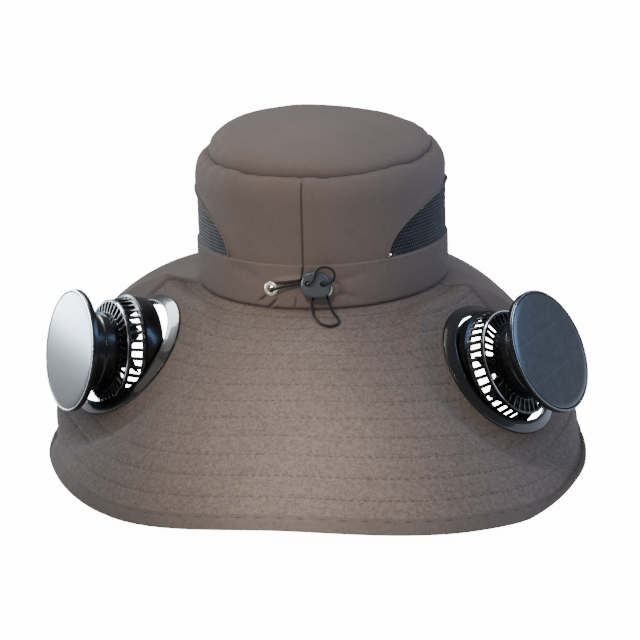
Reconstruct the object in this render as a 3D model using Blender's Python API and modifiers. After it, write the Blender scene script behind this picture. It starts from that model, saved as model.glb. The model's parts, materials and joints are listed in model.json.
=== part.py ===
# Solar fan hat: a soft sun hat with a wide stitched brim, a net vent on each side of its crown,
# a drawcord at the back of its band, and a tilting solar fan let into the brim on each side.
# Metres, +Z up, +Y is the hat's front. The hat rests on its brim's edge, and the origin is on the
# floor below the middle of its overall box.

import math
from collections import namedtuple

import bmesh
import bpy
from mathutils import Matrix, Vector

# Cloth
SEAM_GAP = 0.0003           # clearance between pieces that are sewn or seated face to face
CROWN_CLOTH = 0.0016
TOP_CLOTH = 0.0016
BAND_CLOTH = 0.0026
BRIM_CLOTH = 0.0022
NET_CLOTH = 0.0012

# Head opening and crown, as the outside of the cloth
HEAD_HALF_WIDTH = 0.089
HEAD_HALF_LENGTH = 0.098
BAND_HEIGHT = 0.0310
BAND_PROUD = 0.0006         # the band is sewn on over the crown's cloth
CROWN_HEIGHT = 0.0930       # crown base to the seam of the top panel, at the sides
SEAM_CLIMB = 0.053          # how much that seam rises toward the front, for each unit forward
SHOULDER_HEIGHT = 0.0170    # height over which the wall rounds in to that seam
SHOULDER_INSET = 0.0103     # how far the wall comes in there
TOP_RISE = 0.0195           # dome of the top panel above its seam
TOP_LEAN = 0.32             # how much fuller the dome's edge is on the left, as a share of its rise

# Net vents
VENT_CLEARANCE = 0.0080      # wall between the top of a vent's arch and the crown's shoulder
VENT_HEIGHT = CROWN_HEIGHT - SHOULDER_HEIGHT - BAND_HEIGHT - VENT_CLEARANCE
VENT_HALF_ANGLE = 52.5      # degrees of the crown's ellipse, either side of the hat's side
VENT_TRIM = 0.0005          # clearance of the net inside its arch

# Brim
BRIM_LENGTH = 0.168         # cloth from the band to the edge, at the middle of the back
REST_DROP = 0.1075          # crown base to the edge where the hat rests on the floor
REST_FLAT = 0.0005          # how much of that edge is pressed flat by the floor
BRIM_SEAM_TURN = 16.5       # degrees behind the hat's side where each side seam leaves the band
BRIM_SEAM_RETURN = 0.45     # share of that turn that it loses as it passes in front of a fan
BRIM_SEAM_GAP = 0.0008      # between the two halves at the band

# Each row is one section of the brim, by the direction that it faces: -90 is the back, 0 the right
# side, 90 the front and 180 the left side. The cloth starts at slope_in and bends evenly to
# slope_out.
BrimSection = namedtuple("BrimSection", "facing length_share slope_in slope_out")
BRIM_SECTIONS = (
    BrimSection(-90.0, 1.030, 15.0, 54.5),
    BrimSection(-60.0, 1.090, 21.0, 48.0),
    BrimSection(-28.0, 1.005, 33.5, 55.5),
    BrimSection(0.0, 0.890, 21.0, 78.0),
    BrimSection(30.0, 0.860, 22.0, 62.0),
    BrimSection(60.0, 0.690, 8.0, 36.0),
    BrimSection(90.0, 0.590, 11.0, 27.0),
    BrimSection(120.0, 0.680, 8.0, 32.0),
    BrimSection(150.0, 0.870, 4.0, 44.0),
    BrimSection(180.0, 0.990, 17.0, 77.0),
    BrimSection(208.0, 0.965, 26.0, 59.0),
    BrimSection(240.0, 1.040, 22.0, 54.0),
)

# Eyelets, toggle and drawcord on the back of the band
EYELET_HEIGHT = 0.0139      # above the crown base
EYELET_OUTER = 0.0050       # radius of the flange
EYELET_BORE = 0.0022        # radius of the hole
EYELET_BARREL = 0.0028      # radius of the barrel through the cloth
EYELET_FLANGE = 0.0008      # thickness of the flange
EYELET_PLACES = {"left": -0.0230, "right": 0.0135}
TOGGLE_WIDTH = 0.0222
TOGGLE_HEIGHT = 0.0180
TOGGLE_DEPTH = 0.0055
TOGGLE_TAPER = 0.78         # width at the top as a share of the width at the bottom
TOGGLE_CENTRE = Vector((0.0085, -HEAD_HALF_LENGTH - 0.0072, 0.0199))   # above the crown base
TOGGLE_HOLE = 0.0020        # radius
TOGGLE_HOLE_SPACING = 0.0102
CORD_DIAMETER = 0.0018
CORD_POINTS = 54

# The cord's route by hand, in millimetres across the head, out from the back of the head opening
# and above the crown base: out of the left eyelet, behind the toggle and through it, round the
# loop in front, back through it, down round the loop on the brim, and up into the right eyelet.
CORD_ROUTE = (
    (-21.9, -5.5, 13.9), (-23.4, 0.0, 13.9), (-22.2, 3.0, 14.6), (-18.0, 3.5, 15.9), (-12.8, 3.2, 17.2),
    (-8.1, 2.9, 18.0), (-3.4, 2.8, 19.0), (0.4, 2.9, 20.6), (3.0, 4.2, 21.3), (3.4, 7.2, 21.4),
    (3.5, 10.7, 21.4), (5.1, 13.0, 21.9), (7.8, 12.9, 24.2), (8.9, 12.9, 28.6), (11.4, 12.9, 32.1),
    (15.7, 12.9, 33.2), (20.0, 12.9, 31.5), (21.8, 12.9, 27.8), (20.3, 12.9, 24.0), (17.0, 12.6, 21.9),
    (14.1, 11.2, 21.3), (13.6, 7.2, 21.2), (13.4, 4.2, 20.6), (12.0, 3.0, 17.4), (9.4, 2.7, 13.6),
    (6.4, 3.0, 10.0), (5.0, 4.2, 6.4), (5.5, 6.0, 1.6), (7.0, 8.6, -1.5), (9.4, 12.8, -3.0),
    (13.1, 16.8, -4.5), (18.3, 18.1, -5.3), (22.7, 15.8, -5.0), (24.0, 12.3, -4.0), (22.2, 8.0, -2.3),
    (18.8, 4.9, 0.8), (16.9, 3.5, 5.0), (15.8, 3.1, 8.6), (15.0, 2.6, 11.6), (14.1, 0.8, 13.7),
    (12.9, -4.7, 13.9),
)

# Fan seats in the brim
SEAT_FLAT = 0.0655          # radius over which the cloth is flat under a flange
SEAT_BLEND = 0.083          # radius where it is back to the brim's own curve
SEAT_SEWN_SHARE = 0.10      # share of the brim's length by its seam where the flat fades out
DUCT_RADIUS = 0.0433        # hole through the brim
FLANGE_OUTER = 0.0490
FLANGE_BORE = 0.0412
FLANGE_LIP = 0.0048         # height of the lip round the bore
FLANGE_RIM = 0.0012
FLANGE_SLOPE = 0.0018       # how far the flange's cone comes out below its lip
CLAMP_THICKNESS = 0.0016
CLAMP_OUTER = 0.0475
PIVOT_RISE = 0.0022         # pivot above the cloth
HINGE_TURN = 6.0            # degrees that the hinge line climbs toward the hat's front
PIVOT_PIN_RADIUS = 0.0015

# Fan head, measured along its axis from the pivot
BALL_RADIUS = 0.0397        # outside of the round band that turns in the flange
BALL_BOTTOM = -0.0110
BALL_TOP = 0.0015
CAGE_WALL = 0.0014
CAGE_LOW_RADIUS = 0.0378
CAGE_LOW = 0.0026
CAGE_TOP_RADIUS = 0.0355
CAGE_TOP = 0.0140
COLLAR_RISE = 0.0018        # the cage's top ring climbs this much to the neck
CAGE_SLOTS = 28             # in each of its two tiers
SLOT_SHARE = 0.80           # slot width as a share of the pitch
SLOT_MARGIN = 0.0012        # solid ring left beside each tier of slots
NECK_RADIUS = 0.0265
NECK_WALL = 0.0020
DISC_RADIUS = 0.0418
DISC_FACE = 0.0420
DISC_THICKNESS = 0.0048
CELL_RADIUS = 0.0394
CELL_THICKNESS = 0.0008
CELL_PROUD = 0.0002         # cell's face above the disc's rim
MOTOR_RADIUS = 0.0120
MOTOR_BOTTOM = 0.0140
SHAFT_RADIUS = 0.0012
SHAFT_LENGTH = 0.0070
HUB_RADIUS = 0.0115
HUB_HEIGHT = 0.0130
HUB_CLEARANCE = 0.0003
BLADE_COUNT = 7
BLADE_TIP = 0.0325
BLADE_CHORD = 0.0190
BLADE_THICKNESS = 0.0012
BLADE_PITCH = 43.0          # degrees

# Each row is one fan: where its seat's middle lies on the brim, by the direction that the brim
# faces there and the share of the cloth's length, then the seat's own facing and slope, and how
# far the head is tilted outward at rest, all in degrees.
FanSeat = namedtuple("FanSeat", "name side brim_facing brim_share facing slope rest_tilt")
FAN_SEATS = (
    FanSeat("right", 1.0, -28.5, 0.438, -30.0, 50.0, 14.0),
    FanSeat("left", -1.0, -28.0, 0.433, -40.0, 45.5, 32.5),
)

# Resolution of the faceted pieces
RING_COLUMNS = 36           # round the whole band
GAP_COLUMNS = 8             # of the crown, between its vents
VENT_COLUMNS = 12
VENT_ROWS = 2
BRIM_ROWS = 10              # from the band to the edge
BRIM_BACK_COLUMNS = 34
BRIM_FRONT_COLUMNS = 18
SEAM_CROWDING = 0.6         # 0 spaces the brim's columns evenly, 1 crowds them to the side seams
BRIM_NORMAL_STEP = 2.0      # degrees
WALL_SHOULDER_ROWS = 4
TOP_ROWS = 4
TURN_STEPS = 24

MM = 0.001

# Colours of the plain finishes: base colour, roughness, metallic
FINISHES = {
    "taupe_canvas": ((0.245, 0.212, 0.188), 0.92, 0.0),
    "smooth_canvas": ((0.285, 0.245, 0.210), 0.90, 0.0),
    "dark_net": ((0.020, 0.022, 0.035), 0.80, 0.0),
    "black_plastic": ((0.015, 0.015, 0.017), 0.28, 0.0),
    "grey_plastic": ((0.075, 0.082, 0.092), 0.42, 0.0),
    "cord_braid": ((0.020, 0.016, 0.015), 0.85, 0.0),
    "pale_brass": ((0.72, 0.63, 0.47), 0.34, 0.9),
    "cell_glass": ((0.085, 0.095, 0.115), 0.12, 0.2),
    "motor_steel": ((0.55, 0.55, 0.56), 0.35, 1.0),
}


def clear_scene():
    for old in list(bpy.data.objects):
        bpy.data.objects.remove(old, do_unlink=True)


def new_collection(name):
    group = bpy.data.collections.new(name)
    bpy.context.scene.collection.children.link(group)
    return group


def make_material(name):
    colour, roughness, metallic = FINISHES[name]
    made = bpy.data.materials.new(name)
    made.use_nodes = True
    shader = made.node_tree.nodes["Principled BSDF"]
    shader.inputs["Base Color"].default_value = (*colour, 1.0)
    shader.inputs["Roughness"].default_value = roughness
    shader.inputs["Metallic"].default_value = metallic
    made.diffuse_color = (*colour, 1.0)
    return made


def smooth_step(value):
    value = min(max(value, 0.0), 1.0)
    return value * value * (3.0 - 2.0 * value)


# Shapes of the cloth

def ellipse_point(angle, grow=0.0, height=0.0):
    """Point on the head opening's outline, grown outward, by its ellipse angle in degrees."""
    turn = math.radians(angle)
    return Vector(((HEAD_HALF_WIDTH + grow) * math.cos(turn),
                   (HEAD_HALF_LENGTH + grow) * math.sin(turn), height))


def facing_direction(angle):
    """Level direction that the head opening faces at an ellipse angle."""
    turn = math.radians(angle)
    return Vector((math.cos(turn) / HEAD_HALF_WIDTH, math.sin(turn) / HEAD_HALF_LENGTH, 0.0)).normalized()


def shoulder_height(angle):
    """Height at an ellipse angle where the crown's wall starts to round in."""
    forward = (HEAD_HALF_LENGTH - SHOULDER_INSET) * math.sin(math.radians(angle))
    return CROWN_HEIGHT + SEAM_CLIMB * forward - SHOULDER_HEIGHT


def wall_point(angle, height):
    """Point on the crown's wall, which rounds in over its shoulder."""
    climb = min(max((height - shoulder_height(angle)) / SHOULDER_HEIGHT, 0.0), 1.0)
    inset = SHOULDER_INSET * (1.0 - math.sqrt(1.0 - climb * climb))
    return ellipse_point(angle, -inset, height)


def vent_top(angle, half_angle=VENT_HALF_ANGLE, rise=VENT_HEIGHT):
    """Height of a vent's arch above the band at an ellipse angle, or 0 outside the vents."""
    from_side = abs(math.remainder(angle, 180.0))
    if from_side >= half_angle:
        return 0.0
    return rise * math.sqrt(1.0 - (from_side / half_angle) ** 2)


def blend_sections(facing, column):
    """Smooth value of a column of the brim's table at a direction that the brim faces."""
    count = len(BRIM_SECTIONS)
    start = BRIM_SECTIONS[0].facing
    facing = start + (facing - start) % 360.0

    def row(i):
        turns, at = divmod(i, count)
        return BRIM_SECTIONS[at].facing + 360.0 * turns, getattr(BRIM_SECTIONS[at], column)

    at = max(i for i in range(count) if BRIM_SECTIONS[i].facing <= facing)
    (before, v0), (here, v1), (there, v2), (after, v3) = (row(i) for i in range(at - 1, at + 3))
    slope_here = (v2 - v0) / (there - before)
    slope_there = (v3 - v1) / (after - here)
    span = there - here
    t = (facing - here) / span
    return ((2 * t ** 3 - 3 * t ** 2 + 1) * v1 + (t ** 3 - 2 * t ** 2 + t) * span * slope_here
            + (3 * t ** 2 - 2 * t ** 3) * v2 + (t ** 3 - t ** 2) * span * slope_there)


def free_brim_point(angle, share):
    """Point on the brim's upper face before its fan seats are pressed flat."""
    out = facing_direction(angle)
    facing = math.degrees(math.atan2(out.y, out.x))
    length = BRIM_LENGTH * blend_sections(facing, "length_share")
    start = math.radians(blend_sections(facing, "slope_in"))
    bend = math.radians(blend_sections(facing, "slope_out")) - start
    reach = length / bend * (math.sin(start + bend * share) - math.sin(start))
    drop = length / bend * (math.cos(start) - math.cos(start + bend * share))
    height = max(-SEAM_GAP - drop, -REST_DROP)
    return ellipse_point(angle, 0.0, height) + out * reach


def angle_facing(facing, side):
    """Ellipse angle at which the brim faces a direction, on one side of the hat."""
    turn = math.radians(facing)
    angle = math.degrees(math.atan2(HEAD_HALF_LENGTH * math.sin(turn), HEAD_HALF_WIDTH * math.cos(turn)))
    return angle if side > 0 else 180.0 - angle


def seat_frame(seat):
    """Centre, normal and hinge line of a fan's seat on the brim."""
    centre = free_brim_point(angle_facing(seat.brim_facing, seat.side), seat.brim_share)
    facing = math.radians(seat.facing)
    slope = math.radians(seat.slope)
    normal = Vector((seat.side * math.cos(facing) * math.sin(slope), math.sin(facing) * math.sin(slope),
                     math.cos(slope)))
    level = Vector((0.0, 0.0, 1.0)).cross(normal).normalized()
    climb = normal.cross(level)
    turn = math.radians(HINGE_TURN)
    hinge = level * math.cos(turn) + climb * (seat.side * math.sin(turn))
    return centre, normal, hinge


SEAT_FRAMES = {}


def brim_point(angle, share):
    """Point on the brim's upper face, flat where a fan's flange is seated."""
    point = free_brim_point(angle, share)
    for centre, normal, _hinge in SEAT_FRAMES.values():
        offset = point - centre
        lift = offset.dot(normal)
        spread = (offset - normal * lift).length
        press = 1.0 - smooth_step((spread - SEAT_FLAT) / (SEAT_BLEND - SEAT_FLAT))
        press *= smooth_step(share / SEAT_SEWN_SHARE)
        point = point - normal * (lift * press)
    return point


def brim_normal(angle, share):
    """Which way the brim's upper face looks, the same for both halves along their seams."""
    around = brim_point(angle + BRIM_NORMAL_STEP, share) - brim_point(angle - BRIM_NORMAL_STEP, share)
    step = BRIM_NORMAL_STEP / 90.0
    along = brim_point(angle, min(share + step, 1.0)) - brim_point(angle, max(share - step, 0.0))
    return along.cross(around).normalized()


def eyelet_place(across):
    """Middle of an eyelet on the back of the band's outer face, and the way that it faces."""
    wide = HEAD_HALF_WIDTH + BAND_PROUD
    long = HEAD_HALF_LENGTH + BAND_PROUD
    back = -long * math.sqrt(1.0 - (across / wide) ** 2)
    away = Vector((across / wide ** 2, back / long ** 2, 0.0)).normalized()
    return Vector((across, back, EYELET_HEIGHT)), away


# Building blocks

def link_mesh(name, mesh, group, finish):
    made = bpy.data.objects.new(name, mesh)
    group.objects.link(made)
    if finish is not None:
        mesh.materials.append(finish)
    return made


def mesh_from_bmesh(name, shape):
    bmesh.ops.recalc_face_normals(shape, faces=shape.faces)
    mesh = bpy.data.meshes.new(name)
    shape.to_mesh(mesh)
    shape.free()
    return mesh


def solidify(made, thickness):
    shell = made.modifiers.new("cloth", "SOLIDIFY")
    shell.thickness = thickness
    shell.offset = -1.0
    shell.use_even_offset = True
    return shell


def sheet(name, rows, ring, group, finish, thickness, cap=None, skip=None):
    """A surface through rows of points, with its outside away from the hat, given a thickness."""
    shape = bmesh.new()
    grid = [[shape.verts.new(point) for point in row] for row in rows]
    count = len(rows[0])
    for r in range(len(rows) - 1):
        for c in range(count if ring else count - 1):
            if skip is not None and skip(r, c):
                continue
            nxt = (c + 1) % count
            shape.faces.new((grid[r][c], grid[r][nxt], grid[r + 1][nxt], grid[r + 1][c]))
    if cap is not None:
        middle = shape.verts.new(cap)
        for c in range(count):
            shape.faces.new((grid[-1][c], grid[-1][(c + 1) % count], middle))
    mesh = bpy.data.meshes.new(name)
    shape.to_mesh(mesh)
    shape.free()
    made = link_mesh(name, mesh, group, finish)
    solidify(made, thickness)
    return made


def thick_sheet(name, upper, lower, group, finish):
    """A closed sheet between two grids of points, for cloth whose seams have to meet exactly."""
    shape = bmesh.new()
    grids = [[[shape.verts.new(point) for point in row] for row in rows] for rows in (upper, lower)]
    last_row = len(upper) - 1
    last_column = len(upper[0]) - 1
    for grid in grids:
        for r in range(last_row):
            for c in range(last_column):
                shape.faces.new((grid[r][c], grid[r][c + 1], grid[r + 1][c + 1], grid[r + 1][c]))
    rim = [(0, c) for c in range(last_column)] + [(r, last_column) for r in range(last_row)]
    rim += [(last_row, c) for c in range(last_column, 0, -1)] + [(r, 0) for r in range(last_row, 0, -1)]
    for (r, c), (r_next, c_next) in zip(rim, rim[1:] + rim[:1]):
        shape.faces.new((grids[0][r][c], grids[0][r_next][c_next], grids[1][r_next][c_next], grids[1][r][c]))
    return link_mesh(name, mesh_from_bmesh(name, shape), group, finish)


def turned(name, profile, group, finish, steps=TURN_STEPS, closed=True):
    """A shape turned about local Z from a profile of (radius, height) that runs down its outside."""
    shape = bmesh.new()
    verts = [shape.verts.new((radius, 0.0, height)) for radius, height in profile]
    for first, second in zip(verts, verts[1:]):
        shape.edges.new((first, second))
    if closed:
        shape.edges.new((verts[-1], verts[0]))
    mesh = bpy.data.meshes.new(name)
    shape.to_mesh(mesh)
    shape.free()
    made = link_mesh(name, mesh, group, finish)
    lathe = made.modifiers.new("turn", "SCREW")
    lathe.angle = math.tau
    lathe.steps = steps
    lathe.render_steps = steps
    lathe.use_merge_vertices = True
    lathe.merge_threshold = 0.00001
    return made


def rod(name, radius, start, end, group, finish, sides=16):
    """A round bar between two points."""
    shape = bmesh.new()
    line = Vector(end) - Vector(start)
    place = Matrix.Translation((Vector(start) + Vector(end)) / 2) @ line.to_track_quat("Z", "Y").to_matrix().to_4x4()
    bmesh.ops.create_cone(shape, cap_ends=True, segments=sides, radius1=radius, radius2=radius,
                          depth=line.length, matrix=place)
    return link_mesh(name, mesh_from_bmesh(name, shape), group, finish)


def boolean(made, tool, operation):
    cut = made.modifiers.new(operation.lower() + "_" + tool.name, "BOOLEAN")
    cut.object = tool
    cut.operation = operation
    cut.solver = "EXACT"
    tool.hide_render = True
    tool.display_type = "WIRE"


def attach(piece, parent):
    piece.parent = parent


def smooth_curve(points, count):
    """Evenly spaced points on a smooth curve through the given ones."""
    dense = []
    padded = [points[0] * 2 - points[1], *points, points[-1] * 2 - points[-2]]
    for i in range(1, len(padded) - 2):
        p0, p1, p2, p3 = padded[i - 1:i + 3]
        for k in range(12):
            t = k / 12
            dense.append(0.5 * (2 * p1 + (p2 - p0) * t + (2 * p0 - 5 * p1 + 4 * p2 - p3) * t ** 2
                                + (3 * p1 - p0 - 3 * p2 + p3) * t ** 3))
    dense.append(points[-1])
    runs = [0.0]
    for first, second in zip(dense, dense[1:]):
        runs.append(runs[-1] + (second - first).length)
    spaced = []
    at = 0
    for k in range(count):
        want = runs[-1] * k / (count - 1)
        while at < len(runs) - 2 and runs[at + 1] < want:
            at += 1
        t = (want - runs[at]) / (runs[at + 1] - runs[at])
        spaced.append(dense[at].lerp(dense[at + 1], min(t, 1.0)))
    return spaced


# Crown

def vent_spread(half_angle):
    """Angles across a vent from its middle, closer together toward the steep ends of its arch."""
    return [-half_angle * math.cos(math.pi * c / VENT_COLUMNS) for c in range(VENT_COLUMNS + 1)]


def ring_angles():
    """Ellipse angles of the crown's columns: those of both vents, and even steps between them."""
    angles = []
    gap = 180.0 - 2 * VENT_HALF_ANGLE
    for side in (0.0, 180.0):
        angles += [side + spread for spread in vent_spread(VENT_HALF_ANGLE)]
        angles += [side + VENT_HALF_ANGLE + gap * c / GAP_COLUMNS for c in range(1, GAP_COLUMNS)]
    return angles


def build_crown(group, finishes):
    angles = ring_angles()
    wall_start = BAND_HEIGHT + SEAM_GAP
    rows = [[wall_point(a, wall_start + vent_top(a)) for a in angles]]
    for r in range(WALL_SHOULDER_ROWS + 1):
        bend = math.sin(math.radians(90.0 * r / WALL_SHOULDER_ROWS))
        rows.append([wall_point(a, shoulder_height(a) + SHOULDER_HEIGHT * bend) for a in angles])
    sheet("crown_side", rows, True, group, finishes["smooth_canvas"], CROWN_CLOTH)

    top_rows = []
    for r in range(TOP_ROWS):
        spread = 1.0 - (r / TOP_ROWS) ** 1.6
        row = []
        for a in angles:
            across = math.cos(math.radians(a))
            x = (HEAD_HALF_WIDTH - SHOULDER_INSET - SEAM_GAP) * spread * across
            y = (HEAD_HALF_LENGTH - SHOULDER_INSET - SEAM_GAP) * spread * math.sin(math.radians(a))
            rise = TOP_RISE * (1.0 - spread ** 2.5) ** 0.38 * (1.0 - TOP_LEAN * spread * across)
            row.append(Vector((x, y, CROWN_HEIGHT + SEAM_CLIMB * y + rise)))
        top_rows.append(row)
    peak = Vector((0.0, 0.0, CROWN_HEIGHT + TOP_RISE))
    sheet("crown_top", top_rows, True, group, finishes["smooth_canvas"], TOP_CLOTH, cap=peak)


def build_nets(group, finishes):
    half = VENT_HALF_ANGLE - math.degrees(VENT_TRIM / HEAD_HALF_LENGTH)
    start = BAND_HEIGHT + SEAM_GAP
    for name, side in (("net_right", 0.0), ("net_left", 180.0)):
        spread = vent_spread(half)
        rows = []
        for r in range(VENT_ROWS + 1):
            share = r / VENT_ROWS
            rows.append([wall_point(side + s, start + share * vent_top(s, half, VENT_HEIGHT - VENT_TRIM))
                         for s in spread[1:-1]])
        sheet(name, rows, False, group, finishes["dark_net"], NET_CLOTH)


def build_band(group, cutters, finishes):
    angles = [360.0 * c / RING_COLUMNS for c in range(RING_COLUMNS)]
    rows = [[ellipse_point(a, BAND_PROUD, h) for a in angles] for h in (0.0, BAND_HEIGHT)]
    band = sheet("band", rows, True, group, finishes["smooth_canvas"], BAND_CLOTH)
    for name, across in EYELET_PLACES.items():
        centre, away = eyelet_place(across)
        reach = away * (3 * BAND_CLOTH)
        hole = rod("hole_" + name, EYELET_BARREL + SEAM_GAP, centre - reach, centre + reach,
                   cutters, None)
        boolean(band, hole, "DIFFERENCE")


# Brim

def seam_angle(share):
    """Ellipse angle of the right side seam at a share of the brim's length."""
    return -BRIM_SEAM_TURN * (1.0 - BRIM_SEAM_RETURN * smooth_step((share - 0.2) / 0.3))


def column_share(share):
    """Places of the brim's columns from seam to seam, closer together beside the seams."""
    eased = 0.5 - 0.5 * math.cos(math.pi * share)
    return (1.0 - SEAM_CROWDING) * share + SEAM_CROWDING * eased


def build_brim(group, cutters, finishes):
    halves = (("brim_back", BRIM_BACK_COLUMNS, -180.0, "taupe_canvas"),
              ("brim_front", BRIM_FRONT_COLUMNS, 180.0, "smooth_canvas"))
    for name, columns, sweep, finish in halves:
        upper = []
        lower = []
        for r in range(BRIM_ROWS + 1):
            share = r / BRIM_ROWS
            first = seam_angle(share)
            last = sweep - first
            inset = math.copysign(math.degrees(BRIM_SEAM_GAP / HEAD_HALF_LENGTH) / 2, sweep)
            first += inset
            last -= inset
            angles = [first + (last - first) * column_share(c / columns) for c in range(columns + 1)]
            upper.append([brim_point(a, share) for a in angles])
            lower.append([point - brim_normal(a, share) * BRIM_CLOTH for point, a in zip(upper[-1], angles)])
        made = thick_sheet(name, upper, lower, group, finishes[finish])
        if name == "brim_back":
            for seat in FAN_SEATS:
                centre, normal, _hinge = SEAT_FRAMES[seat.name]
                reach = normal * (5 * BRIM_CLOTH)
                hole = rod("duct_" + seat.name, DUCT_RADIUS, centre - reach, centre + reach,
                           cutters, None, sides=TURN_STEPS)
                boolean(made, hole, "DIFFERENCE")


# Drawcord and its fittings

def build_eyelets(group, finishes):
    face = SEAM_GAP + EYELET_FLANGE
    back = -BAND_CLOTH - 2 * SEAM_GAP - EYELET_FLANGE
    profile = ((EYELET_BORE + 0.0004, face), (EYELET_OUTER - 0.0008, face), (EYELET_OUTER, SEAM_GAP + 0.0003),
               (EYELET_OUTER, SEAM_GAP), (EYELET_BARREL, SEAM_GAP), (EYELET_BARREL, back), (EYELET_BORE, back),
               (EYELET_BORE, face - 0.0003))
    for name, across in EYELET_PLACES.items():
        eyelet = turned("eyelet_" + name, profile, group, finishes["pale_brass"], steps=12)
        point, away = eyelet_place(across)
        turn = away.to_track_quat("Z", "Y").to_matrix().to_4x4()
        eyelet.matrix_world = Matrix.Translation(point) @ turn


def build_toggle(group, cutters, finishes):
    centre = TOGGLE_CENTRE
    shape = bmesh.new()
    bmesh.ops.create_cube(shape, size=1.0)
    for vert in shape.verts:
        narrow = TOGGLE_TAPER if vert.co.z > 0 else 1.0
        vert.co = Vector((vert.co.x * TOGGLE_WIDTH * narrow, vert.co.y * TOGGLE_DEPTH, vert.co.z * TOGGLE_HEIGHT))
    toggle = link_mesh("toggle", mesh_from_bmesh("toggle", shape), group, finishes["grey_plastic"])
    toggle.location = centre
    corners = toggle.modifiers.new("corners", "BEVEL")
    corners.width = 0.0026
    corners.segments = 2
    corners.limit_method = "ANGLE"
    for side in (-1.0, 1.0):
        middle = centre + Vector((side * TOGGLE_HOLE_SPACING / 2, 0.0, 0.0010))
        reach = Vector((0.0, TOGGLE_DEPTH, 0.0))
        hole = rod("toggle_hole_%d" % side, TOGGLE_HOLE, middle - reach, middle + reach, cutters, None, sides=12)
        boolean(toggle, hole, "DIFFERENCE")


def build_cord(group, finishes):
    route = [Vector((across * MM, -HEAD_HALF_LENGTH - out * MM, height * MM))
             for across, out, height in CORD_ROUTE]
    curve = bpy.data.curves.new("drawcord", "CURVE")
    curve.dimensions = "3D"
    curve.bevel_depth = CORD_DIAMETER / 2
    curve.bevel_resolution = 2
    curve.use_fill_caps = True
    spline = curve.splines.new("POLY")
    points = smooth_curve(route, CORD_POINTS)
    spline.points.add(len(points) - 1)
    for slot, point in zip(spline.points, points):
        slot.co = (*point, 1.0)
    curve.materials.append(finishes["cord_braid"])
    group.objects.link(bpy.data.objects.new("drawcord", curve))


# Fans

def build_flange(seat, frame, group, cutters, finishes):
    low = SEAM_GAP - PIVOT_RISE
    lip = low + FLANGE_LIP
    profile = ((FLANGE_BORE, lip), (FLANGE_BORE + 0.0010, lip), (FLANGE_BORE + FLANGE_SLOPE, lip - 0.0016),
               (FLANGE_BORE + 2 * FLANGE_SLOPE, low + FLANGE_RIM + 0.0004), (FLANGE_OUTER, low + FLANGE_RIM),
               (FLANGE_OUTER, low), (FLANGE_BORE, low))
    flange = turned("fan_flange_" + seat.name, profile, group, finishes["black_plastic"])
    attach(flange, frame)
    for end in (-1.0, 1.0):
        pin = rod("pin_%s_%d" % (seat.name, end), PIVOT_PIN_RADIUS,
                  (end * (BALL_RADIUS + SEAM_GAP), 0.0, 0.0), (end * (FLANGE_BORE + 0.0012), 0.0, 0.0),
                  cutters, None, sides=10)
        attach(pin, frame)
        boolean(flange, pin, "UNION")
    top = -PIVOT_RISE - BRIM_CLOTH - SEAM_GAP
    ring = ((DUCT_RADIUS, top), (CLAMP_OUTER, top), (CLAMP_OUTER, top - CLAMP_THICKNESS),
            (DUCT_RADIUS, top - CLAMP_THICKNESS))
    clamp = turned("fan_clamp_" + seat.name, ring, group, finishes["black_plastic"], steps=20)
    attach(clamp, frame)


def cage_profile():
    """Rows of the cage from its collar down, as radius and height, and the rows that slots start at."""
    def ball(height):
        return math.sqrt(BALL_RADIUS ** 2 - height ** 2), height

    collar = (NECK_RADIUS - NECK_WALL, CAGE_TOP + COLLAR_RISE)
    top_span = CAGE_TOP_RADIUS - collar[0]
    slope = COLLAR_RISE / top_span
    slot_in = NECK_RADIUS + SLOT_MARGIN
    slot_out = CAGE_TOP_RADIUS - SLOT_MARGIN
    rows = [collar, (slot_in, CAGE_TOP + slope * (CAGE_TOP_RADIUS - slot_in)),
            (slot_out, CAGE_TOP + slope * SLOT_MARGIN)]
    side_span = CAGE_LOW_RADIUS - CAGE_TOP_RADIUS
    height_span = CAGE_TOP - CAGE_LOW
    rows.append((CAGE_TOP_RADIUS + side_span * SLOT_MARGIN / height_span, CAGE_TOP - SLOT_MARGIN))
    rows.append((CAGE_LOW_RADIUS, CAGE_LOW))
    rows += [ball(BALL_TOP), ball(BALL_BOTTOM)]
    return rows, (1, 3)


def build_cage(seat, head, group, finishes):
    profile, slot_rows = cage_profile()
    pitch = math.tau / CAGE_SLOTS
    turns = []
    for k in range(CAGE_SLOTS):
        turns += [pitch * (k + SLOT_SHARE), pitch * (k + 1)]
    rows = [[Vector((radius * math.cos(t), radius * math.sin(t), height)) for t in turns]
            for radius, height in reversed(profile)]
    last = len(profile) - 2

    def is_slot(row, column):
        return last - row in slot_rows and column % 2 == 1

    cage = sheet("fan_cage_" + seat.name, rows, True, group, finishes["black_plastic"], CAGE_WALL, skip=is_slot)
    attach(cage, head)


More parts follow.
